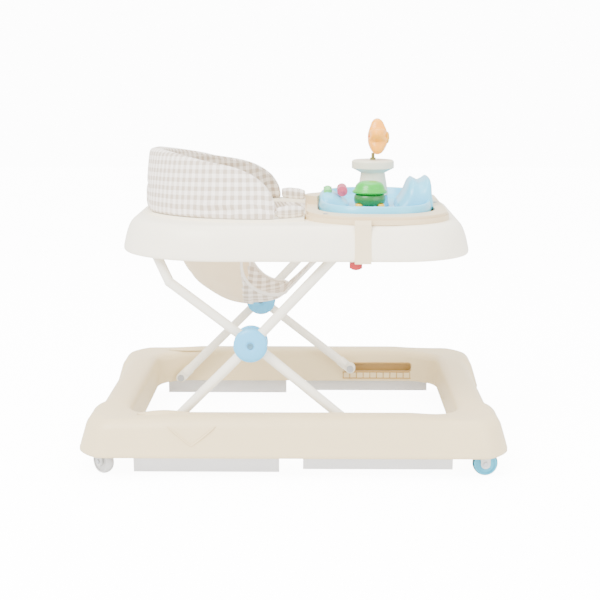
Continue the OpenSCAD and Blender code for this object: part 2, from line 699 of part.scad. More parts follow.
module seat_pouch() color([0.92, 0.9, 0.86]) difference() {
  pouch_form(pouch_r, pouch_front);
  pouch_hollow(pouch_r - 4, pouch_front - 4);
  // the front edge stays under the play tray
  box(play_x0 - 1, pouch_front + 1, -2 * pouch_r, 2 * pouch_r, tray_z - 0.3, tray_z + 60);
  // leg openings
  both() {
    ycyl(leg_x0, pouch_z - leg_r - 4, 58, pouch_r + 50, 2 * leg_r);
    ycyl(leg_x1, pouch_z - leg_r - 4, 58, pouch_r + 50, 2 * leg_r);
    box(leg_x0, leg_x1, 58, pouch_r + 50, pouch_z - 2 * leg_r - 4, pouch_z - 4);
  }
}
pouch_front = seat_front + pouch_r - seat_r;
leg_r = pouch_r * 0.39;
leg_x0 = seat_cx + pouch_r * 0.25;
leg_x1 = pouch_front;
module seat_pegs() color([0.94, 0.94, 0.93]) for (a = peg_angles)
  translate([seat_cx, 0, 0]) rotate([0, 0, a])
    translate([seat_r + 12, 0, 0]) {
      translate([0, 0, tray_z - wall - 3]) cylinder(d = 5, h = wall + 3 + ring_t - 1);
      translate([0, 0, tray_z - wall - 3]) cylinder(d = 8.5, h = 3);
    }

// ---------- play tray ----------
module oval(hx, hy, z0, z1, r) {
  // squarish oval plan
  slab(play_cx - hx, play_cx + hx, hy, r, r, z0, z1);
}
module play_tray() color([0.91, 0.87, 0.81]) difference() {
  union() {
    oval(play_hx, play_hw, play_z, play_z + play_t - 5, 105);
    oval(play_hx - 3, play_hw - 4, play_z, play_z + play_t, 102);
    // raised lobe on the child's side
    intersection() {
      translate([play_x0 + 38, 0, play_z]) cylinder(d = 76, h = play_t + 14);
      box(play_x0, play_x0 + 22, -60, 60, play_z, play_z + play_t + 14);
    }
  }
  // well that the toy console sits in
  oval(cons_hx + 1, cons_hw + 1, play_z + 4, play_z + 60, 81);
  for (q = screw_at)
    translate([q[0], q[1], play_z - 1]) cylinder(d = 4, h = play_t + 40);
}
module play_clips() color([0.86, 0.82, 0.75]) both() difference() {
  // side clip: a band over the rim, down the skirt and under its edge
  cu = (wall + 0.5) / cos(lean);
  translate([clip_x - clip_w / 2, 0, 0]) rotate([90, 0, 90]) linear_extrude(clip_w) difference() {
    polygon([[top_hw - 10, tray_z + play_t - 5], [top_hw + 3, tray_z + play_t - 5], [top_hw + 7, tray_z + 2],
             [tray_hw + 3, skirt_z - 2], [tray_hw - 5.5, skirt_z - 2], [tray_hw - 5.5, skirt_z + 0],
             [tray_hw + 0.2, skirt_z + 0], [top_hw + 4.4, tray_z + 0.1], [top_hw - 10, tray_z + 0.1]]);
    square(1e-3);
  }
  oval(play_hx, play_hw, play_z - 1, play_z + play_t + 1, 105);
}

// ---------- toy console ----------
module toy_console() color([0.71, 0.87, 0.91]) difference() {
  union() {
    difference() {
      oval(cons_hx, cons_hw, play_z + 4, play_z + play_t + 10, 80);
      oval(cons_hx - 7, cons_hw - 7, play_z + 7, play_z + 60, 73);
    }
    // pedestal under the round table
    translate([table_x, 0, play_z + 5]) cylinder(d = 54, h = play_t + 9);
    // sloping key panel on the child's side
    intersection() {
      oval(cons_hx, cons_hw, play_z + 4, play_z + 80, 80);
      box(play_cx - cons_hx, play_cx - cons_hx + 54, -56, 56, play_z + 5, play_z + play_t + 24);
    }
    // tower at the front
    intersection() {
      oval(cons_hx, cons_hw, play_z + 4, play_z + 80, 80);
      translate([play_cx + cons_hx - 38, 0, play_z + 5]) cylinder(r = 46, h = play_t + 48);
    }
    // seat of the turtle
    translate([turtle_x, turtle_y, play_z + 5]) cylinder(d = 26, h = 9);
  }
  // bored seats of the toys
  translate([table_x, 0, play_z + 8]) cylinder(d = 20.1, h = 60);
  translate([turtle_x, turtle_y, play_z + 6]) cylinder(d = 8.1, h = 60);
  for (k = [-1, 0, 1])
    translate([key_x, k * 26, play_z + 9]) cylinder(d = 15, h = 60);
  ycyl(dial_x, dial_z, -31, 31, 18.6);
  ycyl(dial_x, dial_z, -40, 40, 4);
  // room for the round table to turn in
  translate([table_x, 0, play_z + play_t + 14.2]) cylinder(d = table_d + 5, h = 80);
  // arch in the tower
  ycyl(play_cx + cons_hx - 12, play_z + play_t + 12, -20, 20, 36);
}
key_x = play_cx - cons_hx + 17;
key_top = play_z + play_t + 24;
dial_x = play_cx - cons_hx + 42;
dial_z = play_z + play_t + 22;
module key(k) translate([key_x, k * 26, 0]) {
  translate([0, 0, key_top - 16]) cylinder(d = 14.4, h = 17);
  translate([0, 0, key_top - 5.5]) intersection() {
    sphere(d = 17.4);
    cylinder(d = 14.4, h = 20);
  }
}
module toy_key_left() color([0.76, 0.88, 0.78]) key(1);
module toy_key_middle() color([0.76, 0.88, 0.78]) key(0);
module toy_key_right() color([0.76, 0.88, 0.78]) key(-1);
module toy_dial() color([0.93, 0.63, 0.66]) {
  ycyl(dial_x, dial_z, -36, 36, 3.9);
  for (k = [-24, 0, 24])
    ycyl(dial_x, dial_z, k - 5, k + 5, 17.6);
}
module round_table() color([0.87, 0.86, 0.82]) translate([table_x, 0, 0]) difference() {
  union() {
    translate([0, 0, table_z - 18]) rotate_extrude() {
      translate([0, 4]) square([table_d / 2, 10]);
      translate([0, 14]) square([table_d / 2 - 4, 4]);
      intersection() {
        translate([table_d / 2 - 4, 14]) circle(r = 4);
        translate([0, 14]) square([table_d, 5]);
      }
      polygon([[0, 4], [table_d / 2, 4], [21, -4], [0, -4]]);
    }
    cylinder_between(play_z + play_t + 14.5, table_z - 20, 54, 41);
    translate([0, 0, play_z + 9]) cylinder(d = 20, h = play_t + 12);
  }
  translate([0, 0, table_z - 12]) cylinder(d = 6, h = 20);
}
module cylinder_between(z0, z1, d0, d1) translate([0, 0, z0]) cylinder(d1 = d0, d2 = d1, h = z1 - z0);
module flower_stem() color([0.5, 0.5, 0.25]) translate([table_x, 0, 0]) {
  translate([0, 0, table_z - 12]) cylinder(d = 5.9, h = 24);
  translate([0, 0, table_z + 0.2]) cylinder(d = 10, h = 3.5);
}
// flower head: a round middle and ring of petals, standing across the walker
module flower_head() color([0.98, 0.76, 0.45]) translate([table_x + 3, 0, table_z + 5 + flower_h / 2]) difference() {
  union() {
    scale([0.95, 1, 1]) sphere(r = flower_h * 0.28);
    for (a = [0:60:300])
      rotate([a, 0, 0]) translate([0, 0, flower_h * 0.3])
        scale([0.85, 1, 1]) sphere(r = flower_h * 0.2);
  }
  translate([-3, 0, -flower_h / 2 - 6]) cylinder(d = 6, h = 14);
}
// turtle: domed shell on a brim, four feet
module turtle_shell() color([0.37, 0.77, 0.4]) translate([turtle_x, turtle_y, play_z + 15]) {
  difference() {
    translate([0, 0, 12]) scale([1, 1, 0.95]) sphere(d = turtle_d * 0.98);
    translate([-60, -60, -60]) cube([120, 120, 72]);
  }
  translate([0, 0, 8]) cylinder(d = turtle_d, h = 5);
  translate([0, 0, 2]) cylinder(d = turtle_d - 12, h = 7);
  translate([0, 0, -8]) cylinder(d = 8, h = 12);
}
module turtle_feet() color([0.95, 0.81, 0.42]) translate([turtle_x, turtle_y, play_z + 15])
  for (a = [40, 140, 220, 320])
    difference() {
      rotate([0, 0, a]) translate([turtle_d * 0.4, 0, 4]) sphere(d = 13);
      translate([0, 0, 8]) cylinder(d = turtle_d + 20, h = 20);
      translate([0, 0, 2]) cylinder(d = turtle_d - 12, h = 7);
    }
module tray_screws() color([0.6, 0.6, 0.6]) for (q = screw_at)
  translate([q[0], q[1], 0]) {
    translate([0, 0, tray_z - 14]) cylinder(d = 3.5, h = 14 + play_t);
    translate([0, 0, tray_z + play_t]) cylinder(d = 7, h = 1.6);
  }

// ---------- drawing ----------
base_shell();
stopper_rear_left();
stopper_rear_right();
stopper_front_left();
stopper_front_right();
pivot_bolts();
pivot_nuts();
caster_stem_fl();
caster_stem_fr();
caster_stem_rl();
caster_stem_rr();
caster_fork_fl();
caster_fork_fr();
caster_fork_rl();
caster_fork_rr();
caster_axle_fl();
caster_axle_fr();
caster_axle_rl();
caster_axle_rr();
caster_wheel_fl();
caster_wheel_fr();
caster_wheel_rl();
caster_wheel_rr();
caster_tyre_fl();
caster_tyre_fr();
caster_tyre_rl();
caster_tyre_rr();
frame_front_tube();
frame_rear_tube();
cross_rivets();
cap_outer_left();
cap_outer_right();
cap_inner_left();
cap_inner_right();
slider_bolts();
slider_rollers();
tray_body();
rear_saddles();
front_tracks();
lock_knob_left();
lock_knob_right();
seat_ring();
seat_backrest();
seat_collar();
seat_pouch();
seat_pegs();
play_tray();
play_clips();
toy_console();
toy_key_left();
toy_key_middle();
toy_key_right();
toy_dial();
round_table();
flower_stem();
flower_head();
turtle_shell();
turtle_feet();
tray_screws();
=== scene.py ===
# %% [markdown]
# # A folding baby walker, finished for rendering
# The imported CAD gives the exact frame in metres. This script dresses it: every
# hard part gets a moulding or paint finish, the seat becomes sewn cloth over
# padding, and small fittings that the CAD leaves out are modelled on top.

import math

import bpy
import numpy as np
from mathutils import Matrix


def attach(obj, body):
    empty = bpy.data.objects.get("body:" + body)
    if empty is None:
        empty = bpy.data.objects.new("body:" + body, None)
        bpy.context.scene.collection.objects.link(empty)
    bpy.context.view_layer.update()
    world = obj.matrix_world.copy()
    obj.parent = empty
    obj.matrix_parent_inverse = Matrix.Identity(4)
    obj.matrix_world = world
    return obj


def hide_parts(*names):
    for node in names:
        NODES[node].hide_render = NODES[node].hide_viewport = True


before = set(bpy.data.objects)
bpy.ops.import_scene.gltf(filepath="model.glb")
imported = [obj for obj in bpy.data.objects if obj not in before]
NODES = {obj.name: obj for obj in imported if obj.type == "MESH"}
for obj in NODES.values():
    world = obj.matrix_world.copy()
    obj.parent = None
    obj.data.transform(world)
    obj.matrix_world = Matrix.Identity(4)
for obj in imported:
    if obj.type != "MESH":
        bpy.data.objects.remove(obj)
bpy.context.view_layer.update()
print("frame nodes:", len(NODES))

# %% [markdown]
# ## Sizes
# All lengths below are in millimetres and turned into metres when a mesh is
# made. Names follow the CAD, so a changed size is easy to find in both.

# %% Sizes
MM = 0.001
SEAT_X = -67.0          # middle of the round seat opening
BACK_R = 188.0          # outer radius of the backrest
PAD_T = 22.0            # thickness of the backrest padding
BACK_Z, BACK_TOP = 399.0, 507.0
BACK_FRONT = -29.0      # front ends of the backrest
POUCH_R, POUCH_Z, POUCH_FRONT = 148.6, 379.0, 53.0
LEG_R, LEG_X, LEG_Z, STRAP = 58.5, -29.5, 316.5, 58.0
TABLE_X = 134.0         # axis of the round table
CROSS = (-69.0, 200.5)
CHECK = 13.0            # one repeat of the gingham
SIDE_LEAN = 0.58        # share by which the backrest's sides draw in at the top


# %% [markdown]
# ## Small helpers
# One function turns a colour into linear light, one adds a shader node, and a
# few build surfaces out of rings of points with numpy.

# %% Helpers
def linear(code):
    """Linear light of an sRGB hex colour: a channel c becomes c / 12.92 when
    small, and otherwise ((c + 0.055) / 1.055) to the power 2.4."""
    c = np.array([int(code[i:i + 2], 16) / 255 for i in (1, 3, 5)])
    c = np.where(c <= 0.04045, c / 12.92, ((c + 0.055) / 1.055) ** 2.4)
    return (*c.tolist(), 1.0)


def add(tree, kind, sockets=(), **props):
    """Adds one shader node. A socket takes either a value or another node's
    output, which is then linked."""
    node = tree.nodes.new("ShaderNode" + kind)
    for key, value in props.items():
        setattr(node, key, value)
    for key, value in dict(sockets).items():
        if isinstance(value, bpy.types.NodeSocket):
            tree.links.new(value, node.inputs[key])
        else:
            node.inputs[key].default_value = value
    return node


def ring_mesh(name, rings, material, wrap=True, caps=(True, True), uv=None):
    """A surface through rings of points, in mm: rings[i, j] is joined to its
    neighbours in both directions, closed around j if wrap, and each end is
    closed by a fan to the ring's middle. Faces are turned outward by the sign
    of the enclosed volume."""
    rings = np.asarray(rings, float)
    n, k = rings.shape[:2]
    verts = rings.reshape(-1, 3)
    i, j = np.meshgrid(np.arange(n - 1), np.arange(k if wrap else k - 1), indexing="ij")
    j2 = (j + 1) % k
    quads = np.stack([i * k + j, i * k + j2, (i + 1) * k + j2, (i + 1) * k + j], -1).reshape(-1, 4)
    faces = quads.tolist()
    a = np.arange(k)
    for on, row, turn in ((caps[0], 0, 1), (caps[1], n - 1, -1)):
        if on:
            middle = len(verts)
            verts = np.vstack([verts, rings[row].mean(0)])
            fan = np.stack([np.full(k, middle), row * k + (a + 1) % k, row * k + a], -1)
            faces += fan[:, ::turn].tolist()
    tris = np.array([(f[0], f[m], f[m + 1]) for f in faces for m in range(1, len(f) - 1)])
    p = verts[tris] - verts.mean(0)
    if wrap and np.einsum("ij,ij->", p[:, 0], np.cross(p[:, 1], p[:, 2])) < 0:
        faces = [f[::-1] for f in faces]
    mesh = bpy.data.meshes.new(name)
    mesh.from_pydata((verts * MM).tolist(), [], faces)
    if uv is not None:
        flat = np.asarray(uv, float).reshape(-1, 2)
        flat = np.vstack([flat, np.zeros((len(verts) - len(flat), 2))])
        loops = np.empty(len(mesh.loops), int)
        mesh.loops.foreach_get("vertex_index", loops)
        layer = mesh.uv_layers.new(name="cloth")
        layer.data.foreach_set("uv", (flat[loops] * MM).ravel())
    mesh.materials.append(material)
    mesh.shade_smooth()
    mesh.update()
    obj = bpy.data.objects.new(name, mesh)
    bpy.context.scene.collection.objects.link(obj)
    return obj


def lathe(name, profile, centre, material, axis="z", n=72):
    """A turned piece: the profile's (radius, height) points run once around
    the axis through centre."""
    profile = np.asarray(profile, float)
    t = np.linspace(0, 2 * np.pi, n, endpoint=False)
    r, h = profile[:, :1], profile[:, 1:2]
    one, two, up = r * np.cos(t), r * np.sin(t), h + 0 * t
    order = {"z": (one, two, up), "y": (one, up, two), "x": (up, one, two)}[axis]
    return ring_mesh(name, np.stack(order, -1) + np.asarray(centre, float), material)


def tube(name, path, radius, material, closed=False, k=12):
    """A round cord along a path: each ring stands square to the path, built
    on the two directions that a fixed reference gives by cross products."""
    path = np.asarray(path, float)
    ahead = np.gradient(path, axis=0)
    if closed:
        ahead = np.roll(path, -1, 0) - np.roll(path, 1, 0)
    ahead /= np.linalg.norm(ahead, axis=1, keepdims=True) + 1e-9
    side = np.cross(ahead, [0.13, 0.21, 0.97])
    side /= np.linalg.norm(side, axis=1, keepdims=True) + 1e-9
    top = np.cross(side, ahead)
    t = np.linspace(0, 2 * np.pi, k, endpoint=False)[None, :, None]
    radius = np.broadcast_to(np.asarray(radius, float), (len(path),))[:, None, None]
    rings = path[:, None] + radius * (np.cos(t) * side[:, None] + np.sin(t) * top[:, None])
    if closed:
        rings = np.vstack([rings, rings[:1]])
    return ring_mesh(name, rings, material, caps=(not closed,) * 2)


def resample(points, count, closed=False):
    """The same line with points at even steps along its length."""
    points = np.asarray(points, float)
    if closed:
        points = np.vstack([points, points[:1]])
    d = np.r_[0, np.cumsum(np.linalg.norm(np.diff(points, axis=0), axis=1))]
    s = np.linspace(0, d[-1], count, endpoint=not closed)
    return np.stack([np.interp(s, d, points[:, a]) for a in range(points.shape[1])], -1), d[-1]


def ripple(p, waves, seed):
    """Smooth noise from a fixed set of plane waves: the sum of sines of
    directions . point / length, scaled to about one."""
    rng = np.random.default_rng(seed)
    total = 0
    for length in waves:
        d = rng.normal(size=3)
        d /= np.linalg.norm(d)
        total = total + np.sin(2 * np.pi * (p @ d) / length + rng.uniform(0, 6.28))
    return total / len(waves)


# %% [markdown]
# ## Finishes
# Injection-moulded plastic is never perfectly even: its colour drifts a little
# over some centimetres, and a fine spark-eroded grain scatters the light. Both
# are noise textures in object coordinates at their real size.

# %% Plastic, paint and metal
def moulded(name, colour, rough=0.42, grain=0.5, drift=0.03, bump=0.06, metal=0.0, coat=0.0):
    """Moulded or painted surface: colour drifts over 60 mm, and a grain of the
    given size in mm gives relief and uneven gloss."""
    mat = bpy.data.materials.new(name)
    mat.use_nodes = True
    tree = mat.node_tree
    shader = tree.nodes["Principled BSDF"]
    where = add(tree, "TexCoord").outputs["Object"]
    slow = add(tree, "TexNoise", {"Vector": where, "Scale": 1 / 0.06, "Detail": 3.0})
    tone = add(tree, "MapRange", {"Value": slow.outputs["Fac"], "To Min": 1 - drift, "To Max": 1 + drift})
    tint = add(tree, "HueSaturation", {"Color": linear(colour), "Value": tone.outputs["Result"]})
    fine = add(tree, "TexNoise", {"Vector": where, "Scale": 1 / (grain * MM), "Detail": 2.0})
    gloss = add(tree, "MapRange", {"Value": fine.outputs["Fac"], "To Min": rough - 0.06, "To Max": rough + 0.06})
    relief = add(tree, "Bump", {"Height": fine.outputs["Fac"], "Strength": bump, "Distance": 0.0004})
    tree.links.new(tint.outputs["Color"], shader.inputs["Base Color"])
    tree.links.new(gloss.outputs["Result"], shader.inputs["Roughness"])
    tree.links.new(relief.outputs["Normal"], shader.inputs["Normal"])
    shader.inputs["Metallic"].default_value = metal
    shader.inputs["Coat Weight"].default_value = coat
    return mat


FINISH = {
    "base_plastic": moulded("polypropylene_cream", "#E2CDA0", 0.40),
    "tray_plastic": moulded("polypropylene_ivory", "#FFF6E0", 0.36),
    "white_paint": moulded("powder_coat_white", "#F3EDDD", 0.30, grain=0.9, bump=0.10, coat=0.25),
    "zinc_steel": moulded("zinc_plated_steel", "#B9BBBE", 0.32, metal=0.9),
    "blue_cap": moulded("polypropylene_sky", "#4FB4E4", 0.34, coat=0.1),
    "strip_rubber": moulded("soft_rubber_grey", "#F3F2F1", 0.62, bump=0.12),
    "wheel_blue": moulded("nylon_pale_blue", "#3FB4D2", 0.34),
    "tyre_teal": moulded("tyre_dark_teal", "#0D5F72", 0.55),
    "wheel_grey": moulded("nylon_light_grey", "#D6D5D2", 0.42),
    "fork_nylon": moulded("nylon_fork_grey", "#CFCFCC", 0.45),
    "nylon": moulded("nylon_natural", "#E8E2D2", 0.45),
    "knob_red": moulded("abs_red", "#A50B12", 0.30, coat=0.2),
    "play_beige": moulded("polypropylene_beige", "#DEC8A0", 0.38),
    "clip_beige": moulded("polypropylene_sand", "#E5D2AC", 0.38),
    "console_blue": moulded("abs_light_blue", "#5CC4E6", 0.30, coat=0.15),
    "key_green": moulded("abs_pale_green", "#63C76A", 0.30, coat=0.15),
    "bead_pink": moulded("abs_pink", "#D2506A", 0.30, coat=0.15),
    "table_grey": moulded("abs_warm_grey", "#DFD8BE", 0.36),
    "flower_orange": moulded("abs_apricot", "#FFA60A", 0.32, coat=0.15),
    "stem_olive": moulded("abs_olive", "#6E6B34", 0.40),
    "turtle_green": moulded("abs_leaf_green", "#14A522", 0.30, coat=0.15),
    "feet_yellow": moulded("abs_yellow", "#EFB012", 0.34),
}
# Dark blue: the sky blue darkened, painted shade in the caps' recesses and under the turtle
BLUE_PAINTED_SHADE = moulded("abs_sky_shadow", "#4E7F95", 0.5)
# Dark green: the turtle's green darkened, painted shade for its body under the brim
GREEN_PAINTED_SHADE = moulded("leaf_green_painted_shade", "#0A6A22", 0.34, coat=0.1)
# SLOT_SHADE is the base's cream darkened: painted shade for the slot frame, channel and comb
SLOT_SHADE = moulded("base_cream_painted_shade", "#B99455", 0.55)
print("finishes:", len(FINISH))


# %% [markdown]
# ## Cloth
# The seat cover is a light gingham: stripes of half a repeat run both ways, so
# a spot crossed by no, one or two stripes gets one of three tones. Binding and
# lining are plain. A plain weave of 0.7 mm threads gives the relief.

# %% Cloth finishes
def woven(name, colour, stripe=None, thread=0.7):
    """Cloth finish. With a stripe colour, the sewn coordinates are split at
    half a repeat each way and the two stripe masks are averaged."""
    mat = bpy.data.materials.new(name)
    mat.use_nodes = True
    tree = mat.node_tree
    shader = tree.nodes["Principled BSDF"]
    where = add(tree, "TexCoord").outputs["Object"]
    fluff = add(tree, "TexNoise", {"Vector": where, "Scale": 1 / (thread * MM), "Detail": 4.0, "Roughness": 0.7})
    slow = add(tree, "TexNoise", {"Vector": where, "Scale": 1 / 0.05, "Detail": 2.0})
    tone = add(tree, "MapRange", {"Value": slow.outputs["Fac"], "To Min": 0.96, "To Max": 1.04})
    base = add(tree, "HueSaturation", {"Color": linear(colour), "Value": tone.outputs["Result"]}).outputs["Color"]
    if stripe:
        parts = add(tree, "SeparateXYZ", {"Vector": add(tree, "UVMap", uv_map="cloth").outputs["UV"]})
        masks = []
        for axis in "XY":
            saw = add(tree, "Math", {0: parts.outputs[axis], 1: CHECK * MM}, operation="DIVIDE")
            saw = add(tree, "Math", {0: saw.outputs[0]}, operation="FRACT")
            tri = add(tree, "Math", {0: saw.outputs[0], 1: 0.5}, operation="SUBTRACT")
            tri = add(tree, "Math", {0: tri.outputs[0]}, operation="ABSOLUTE")
            edge = add(tree, "MapRange", {"Value": tri.outputs[0], "From Min": 0.235, "From Max": 0.265})
            masks.append(edge.outputs["Result"])
        both = add(tree, "Math", {0: masks[0], 1: masks[1]}, operation="ADD")
        half = add(tree, "Math", {0: both.outputs[0], 1: 0.5}, operation="MULTIPLY")
        mix = add(tree, "Mix", {"Factor": half.outputs[0], "A": base, "B": linear(stripe)}, data_type="RGBA")
        base = next(o for o in mix.outputs if o.type == "RGBA")
    relief = add(tree, "Bump", {"Height": fluff.outputs["Fac"], "Strength": 0.35, "Distance": 0.0005})
    tree.links.new(base, shader.inputs["Base Color"])
    tree.links.new(relief.outputs["Normal"], shader.inputs["Normal"])
    shader.inputs["Roughness"].default_value = 0.85
    shader.inputs["Sheen Weight"].default_value = 0.25
    return mat


CLOTH = {
    "gingham": woven("cotton_gingham", "#F4ECE2", "#B8A896"),
    "lining": woven("cotton_cream", "#E8D3AE"),
    "binding": woven("cotton_binding", "#F0EAE0"),
}

# %% [markdown]
# ## Hard parts from the CAD
# Each node takes the finish of its material slot. A narrow bevel gives the
# edges of the clips, lock knobs, stoppers and front tracks a highlight; the
# other pieces get none.

# %% Paint the CAD nodes
SLOTS = {
    "base_shell": "base_plastic", "stopper": "strip_rubber", "pivot": "zinc_steel",
    "caster_stem": "zinc_steel", "caster_axle": "zinc_steel", "caster_fork": "wheel_grey",
    "caster_wheel_f": "wheel_blue", "caster_wheel_r": "wheel_grey", "caster_tyre_f": "tyre_teal",
    "caster_tyre_r": "wheel_grey", "frame_": "white_paint", "cross_rivets": "zinc_steel",
    "cap_": "blue_cap", "slider_bolts": "zinc_steel", "slider_rollers": "nylon",
    "tray_body": "tray_plastic", "rear_saddles": "tray_plastic", "front_tracks": "tray_plastic",
    "lock_knob": "knob_red", "seat_ring": "tray_plastic", "seat_pegs": "tray_plastic",
    "seat_backrest": None, "seat_collar": None, "seat_pouch": None,
    "play_tray": "play_beige", "play_clips": "clip_beige", "toy_console": "console_blue",
    "toy_key": "key_green", "toy_dial": "bead_pink", "round_table": "table_grey",
    "flower_stem": "stem_olive", "flower_head": "flower_orange", "turtle_shell": "turtle_green",
    "turtle_feet": "feet_yellow", "tray_screws": "zinc_steel",
}
BEVEL = {"play_clips": 1.2, "lock_knob": 1.5, "stopper": 0.8, "front_tracks": 0.5}
for name, obj in NODES.items():
    slot = next((v for k, v in SLOTS.items() if name.startswith(k)), "nylon")
    if slot is None:
        continue
    obj.data.materials.clear()
    obj.data.materials.append(FINISH[slot])
    width = next((v for k, v in BEVEL.items() if name.startswith(k)), 0)
    if width:
        edge = obj.modifiers.new("edge", "BEVEL")
        edge.width = width * MM
        edge.segments = 3
        edge.limit_method = "ANGLE"
        edge.angle_limit = math.radians(40)
print("CAD nodes painted")


# %% [markdown]
# ## Tray
# The tray is one thin moulding: a top plate, a bulging skirt whose lower edge
# turns in, and a wall round the seat opening. All its rings are plan curves
# about the seat's middle, so the same number of points serves the round hole
# and the long outer edge.

# %% Tray moulding
K = 420
az = np.linspace(0, 2 * np.pi, K, endpoint=False)


def tray_edge(inset):
    """Distance from the seat's middle to the tray's rounded outline, drawn in
    by inset, at every azimuth."""
    x0, x1, hw = -288 + inset, 288 - inset, 251 - inset
    r0, r1 = 170 - inset, 120 - inset
    q = np.linspace(0, np.pi / 2, 60)
    a = np.stack([x1 - r1 + r1 * np.cos(q), hw - r1 + r1 * np.sin(q)], -1)
    b = np.stack([x0 + r0 - r0 * np.sin(q), hw - r0 + r0 * np.cos(q)], -1)
    up = np.vstack([[[x1, 0.0]], a, b, [[x0, 0.0]]])
    up = resample(up, 900)[0]
    loop = np.vstack([up, up[-2:0:-1] * [1, -1]])
    turn = np.unwrap(np.arctan2(loop[:, 1], loop[:, 0] - SEAT_X))
    far = np.hypot(loop[:, 0] - SEAT_X, loop[:, 1])
    return np.interp(az, turn, far, period=2 * np.pi)


def seat_edge(r):
    """Distance to the seat opening: a circle cut off straight at the front."""
    straight = (64.5 + r - 160 - SEAT_X) / np.maximum(np.cos(az), 1e-3)
    return np.minimum(r, straight + 1e4 * (np.cos(az) < 0.05))


hole = [(163.0, 374), (160.5, 373.4), (160, 375), (160, 393.6), (160.6, 394.8), (162, 395)]
rim_out = [(34, 395), (26, 394.6), (21, 393.2), (17, 390.6), (13.4, 386.4), (10.4, 381), (7.8, 374.5), (5.6, 367.5),
           (3.8, 360.5), (2.4, 354), (1.2, 348.5), (0.7, 344.5), (1.2, 341.6), (2.8, 339.8), (4.8, 339.2), (6.0, 340.4),
           (6.0, 345), (7.6, 356), (10, 366), (13.2, 377), (17.5, 386), (23, 390.6), (30, 392)]
rings = [(seat_edge(r), z) for r, z in hole]
edge0, edge1 = seat_edge(162), tray_edge(34)
rings += [(edge0 + (edge1 - edge0) * f, 395) for f in (0.25, 0.5, 0.75)]
rings += [(tray_edge(d), z) for d, z in rim_out]
rings += [(seat_edge(164) + (tray_edge(30) - seat_edge(164)) * f, 392) for f in (0.6, 0.2, 0.0)]
rings.append(rings[0])
rings = np.array([np.stack([SEAT_X + r * np.cos(az), r * np.sin(az), z + 0 * r], -1) for r, z in rings])
tray = ring_mesh("tray_moulding", rings, FINISH["tray_plastic"], caps=(False, False))
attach(tray, "tray")
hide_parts("tray_body")
print("tray rings", len(rings))


# %% [markdown]
# ## Toy console
# The blue dish has a thin rolled rim. A low wedge on the child's side carries
# the three keys and a wave-shaped sail stands at the front. Extruding the side
# outline would leave flat ends, so wedge and sail are lofts: one closed
# outline, scaled down toward both ends.

# %% Dish, key wedge and sail
def plan(hx, hy, cx, n=160, power=3.2):
    """Superellipse: cosine and sine raised to 2 / power, times the half
    sizes."""
    t = np.linspace(0, 2 * np.pi, n, endpoint=False)
    c, s_ = np.cos(t), np.sin(t)
    return np.stack([cx + hx * np.sign(c) * np.abs(c) ** (2 / power),
                     hy * np.sign(s_) * np.abs(s_) ** (2 / power)], -1)


dish = [(1.5, 399.2), (0, 401), (0.4, 408), (2.2, 416.6), (3.4, 418.6), (5.2, 419.2),
        (7, 418.4), (8, 416), (9.4, 408), (12, 403.6), (16, 402.4), (40, 402.2)]
rings = []
for inset, z in dish:
    edge = plan(96 - inset, 179 - inset, 136)
    rings.append(np.column_stack([edge, np.full(len(edge), z)]))
console = ring_mesh("console_dish", rings, FINISH["console_blue"], caps=(True, True))


def loft(name, outline, stations, material, floor_z):
    """One closed outline in x and z, repeated across y; at each station its
    height over floor_z and its length about its middle are scaled."""
    outline = resample(np.asarray(outline, float), 96, closed=True)[0]
    mid = outline[:, 0].mean()
    rings = [np.stack([mid + (outline[:, 0] - mid) * sx, 0 * outline[:, 0] + y,
                       floor_z + (outline[:, 1] - floor_z) * sz], -1) for y, sx, sz in stations]
    obj = ring_mesh(name, rings, material)
    sub = obj.modifiers.new("smooth", "SUBSURF")
    sub.levels = sub.render_levels = 1
    return obj


def across(half, n=21, soft=0.5):
    """Stations from one end to the other: scales fall off as an ellipse."""
    u = np.sin(np.linspace(-np.pi / 2, np.pi / 2, n))
    fall = np.sqrt(np.maximum(1 - np.abs(u) ** 5, 0))
    return [(half * a, 1 - soft * (1 - f), 0.12 + 0.88 * f) for a, f in zip(u, fall)]


wedge = loft("key_wedge", [(41, 402.5), (42, 420), (46, 427), (54, 430),
                           (64, 428), (78, 420), (90, 411), (94, 402.5)],
             across(58), FINISH["console_blue"], 402)
sail = loft("sail_tower", [(172, 402.5), (175, 412), (182, 421), (188, 432), (194, 447), (200, 453),
                           (206, 450), (212, 446.5), (219, 450), (226, 455), (231, 452), (233, 442),
                           (234, 428), (236, 415), (237, 402.5)],
            across(66, soft=0.25), FINISH["console_blue"], 402)
pedestal = lathe("table_pedestal", [(29, 402.4), (28.5, 405), (26.5, 412), (26, 420), (25.2, 421.4), (12, 421.6)],
                 (TABLE_X, 0, 0), FINISH["console_blue"])
# The turtle's seat is coloured dark blue: painted shade under the turtle
turtle_seat = lathe("turtle_seat", [(15, 402.4), (14, 406), (12.6, 408), (4.4, 408)], (125, -105, 0), BLUE_PAINTED_SHADE)
for piece in (console, wedge, sail, pedestal, turtle_seat):
    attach(piece, "tray")
    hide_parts("toy_console")
print("console pieces: dish, wedge, sail, pedestal, turtle's seat")
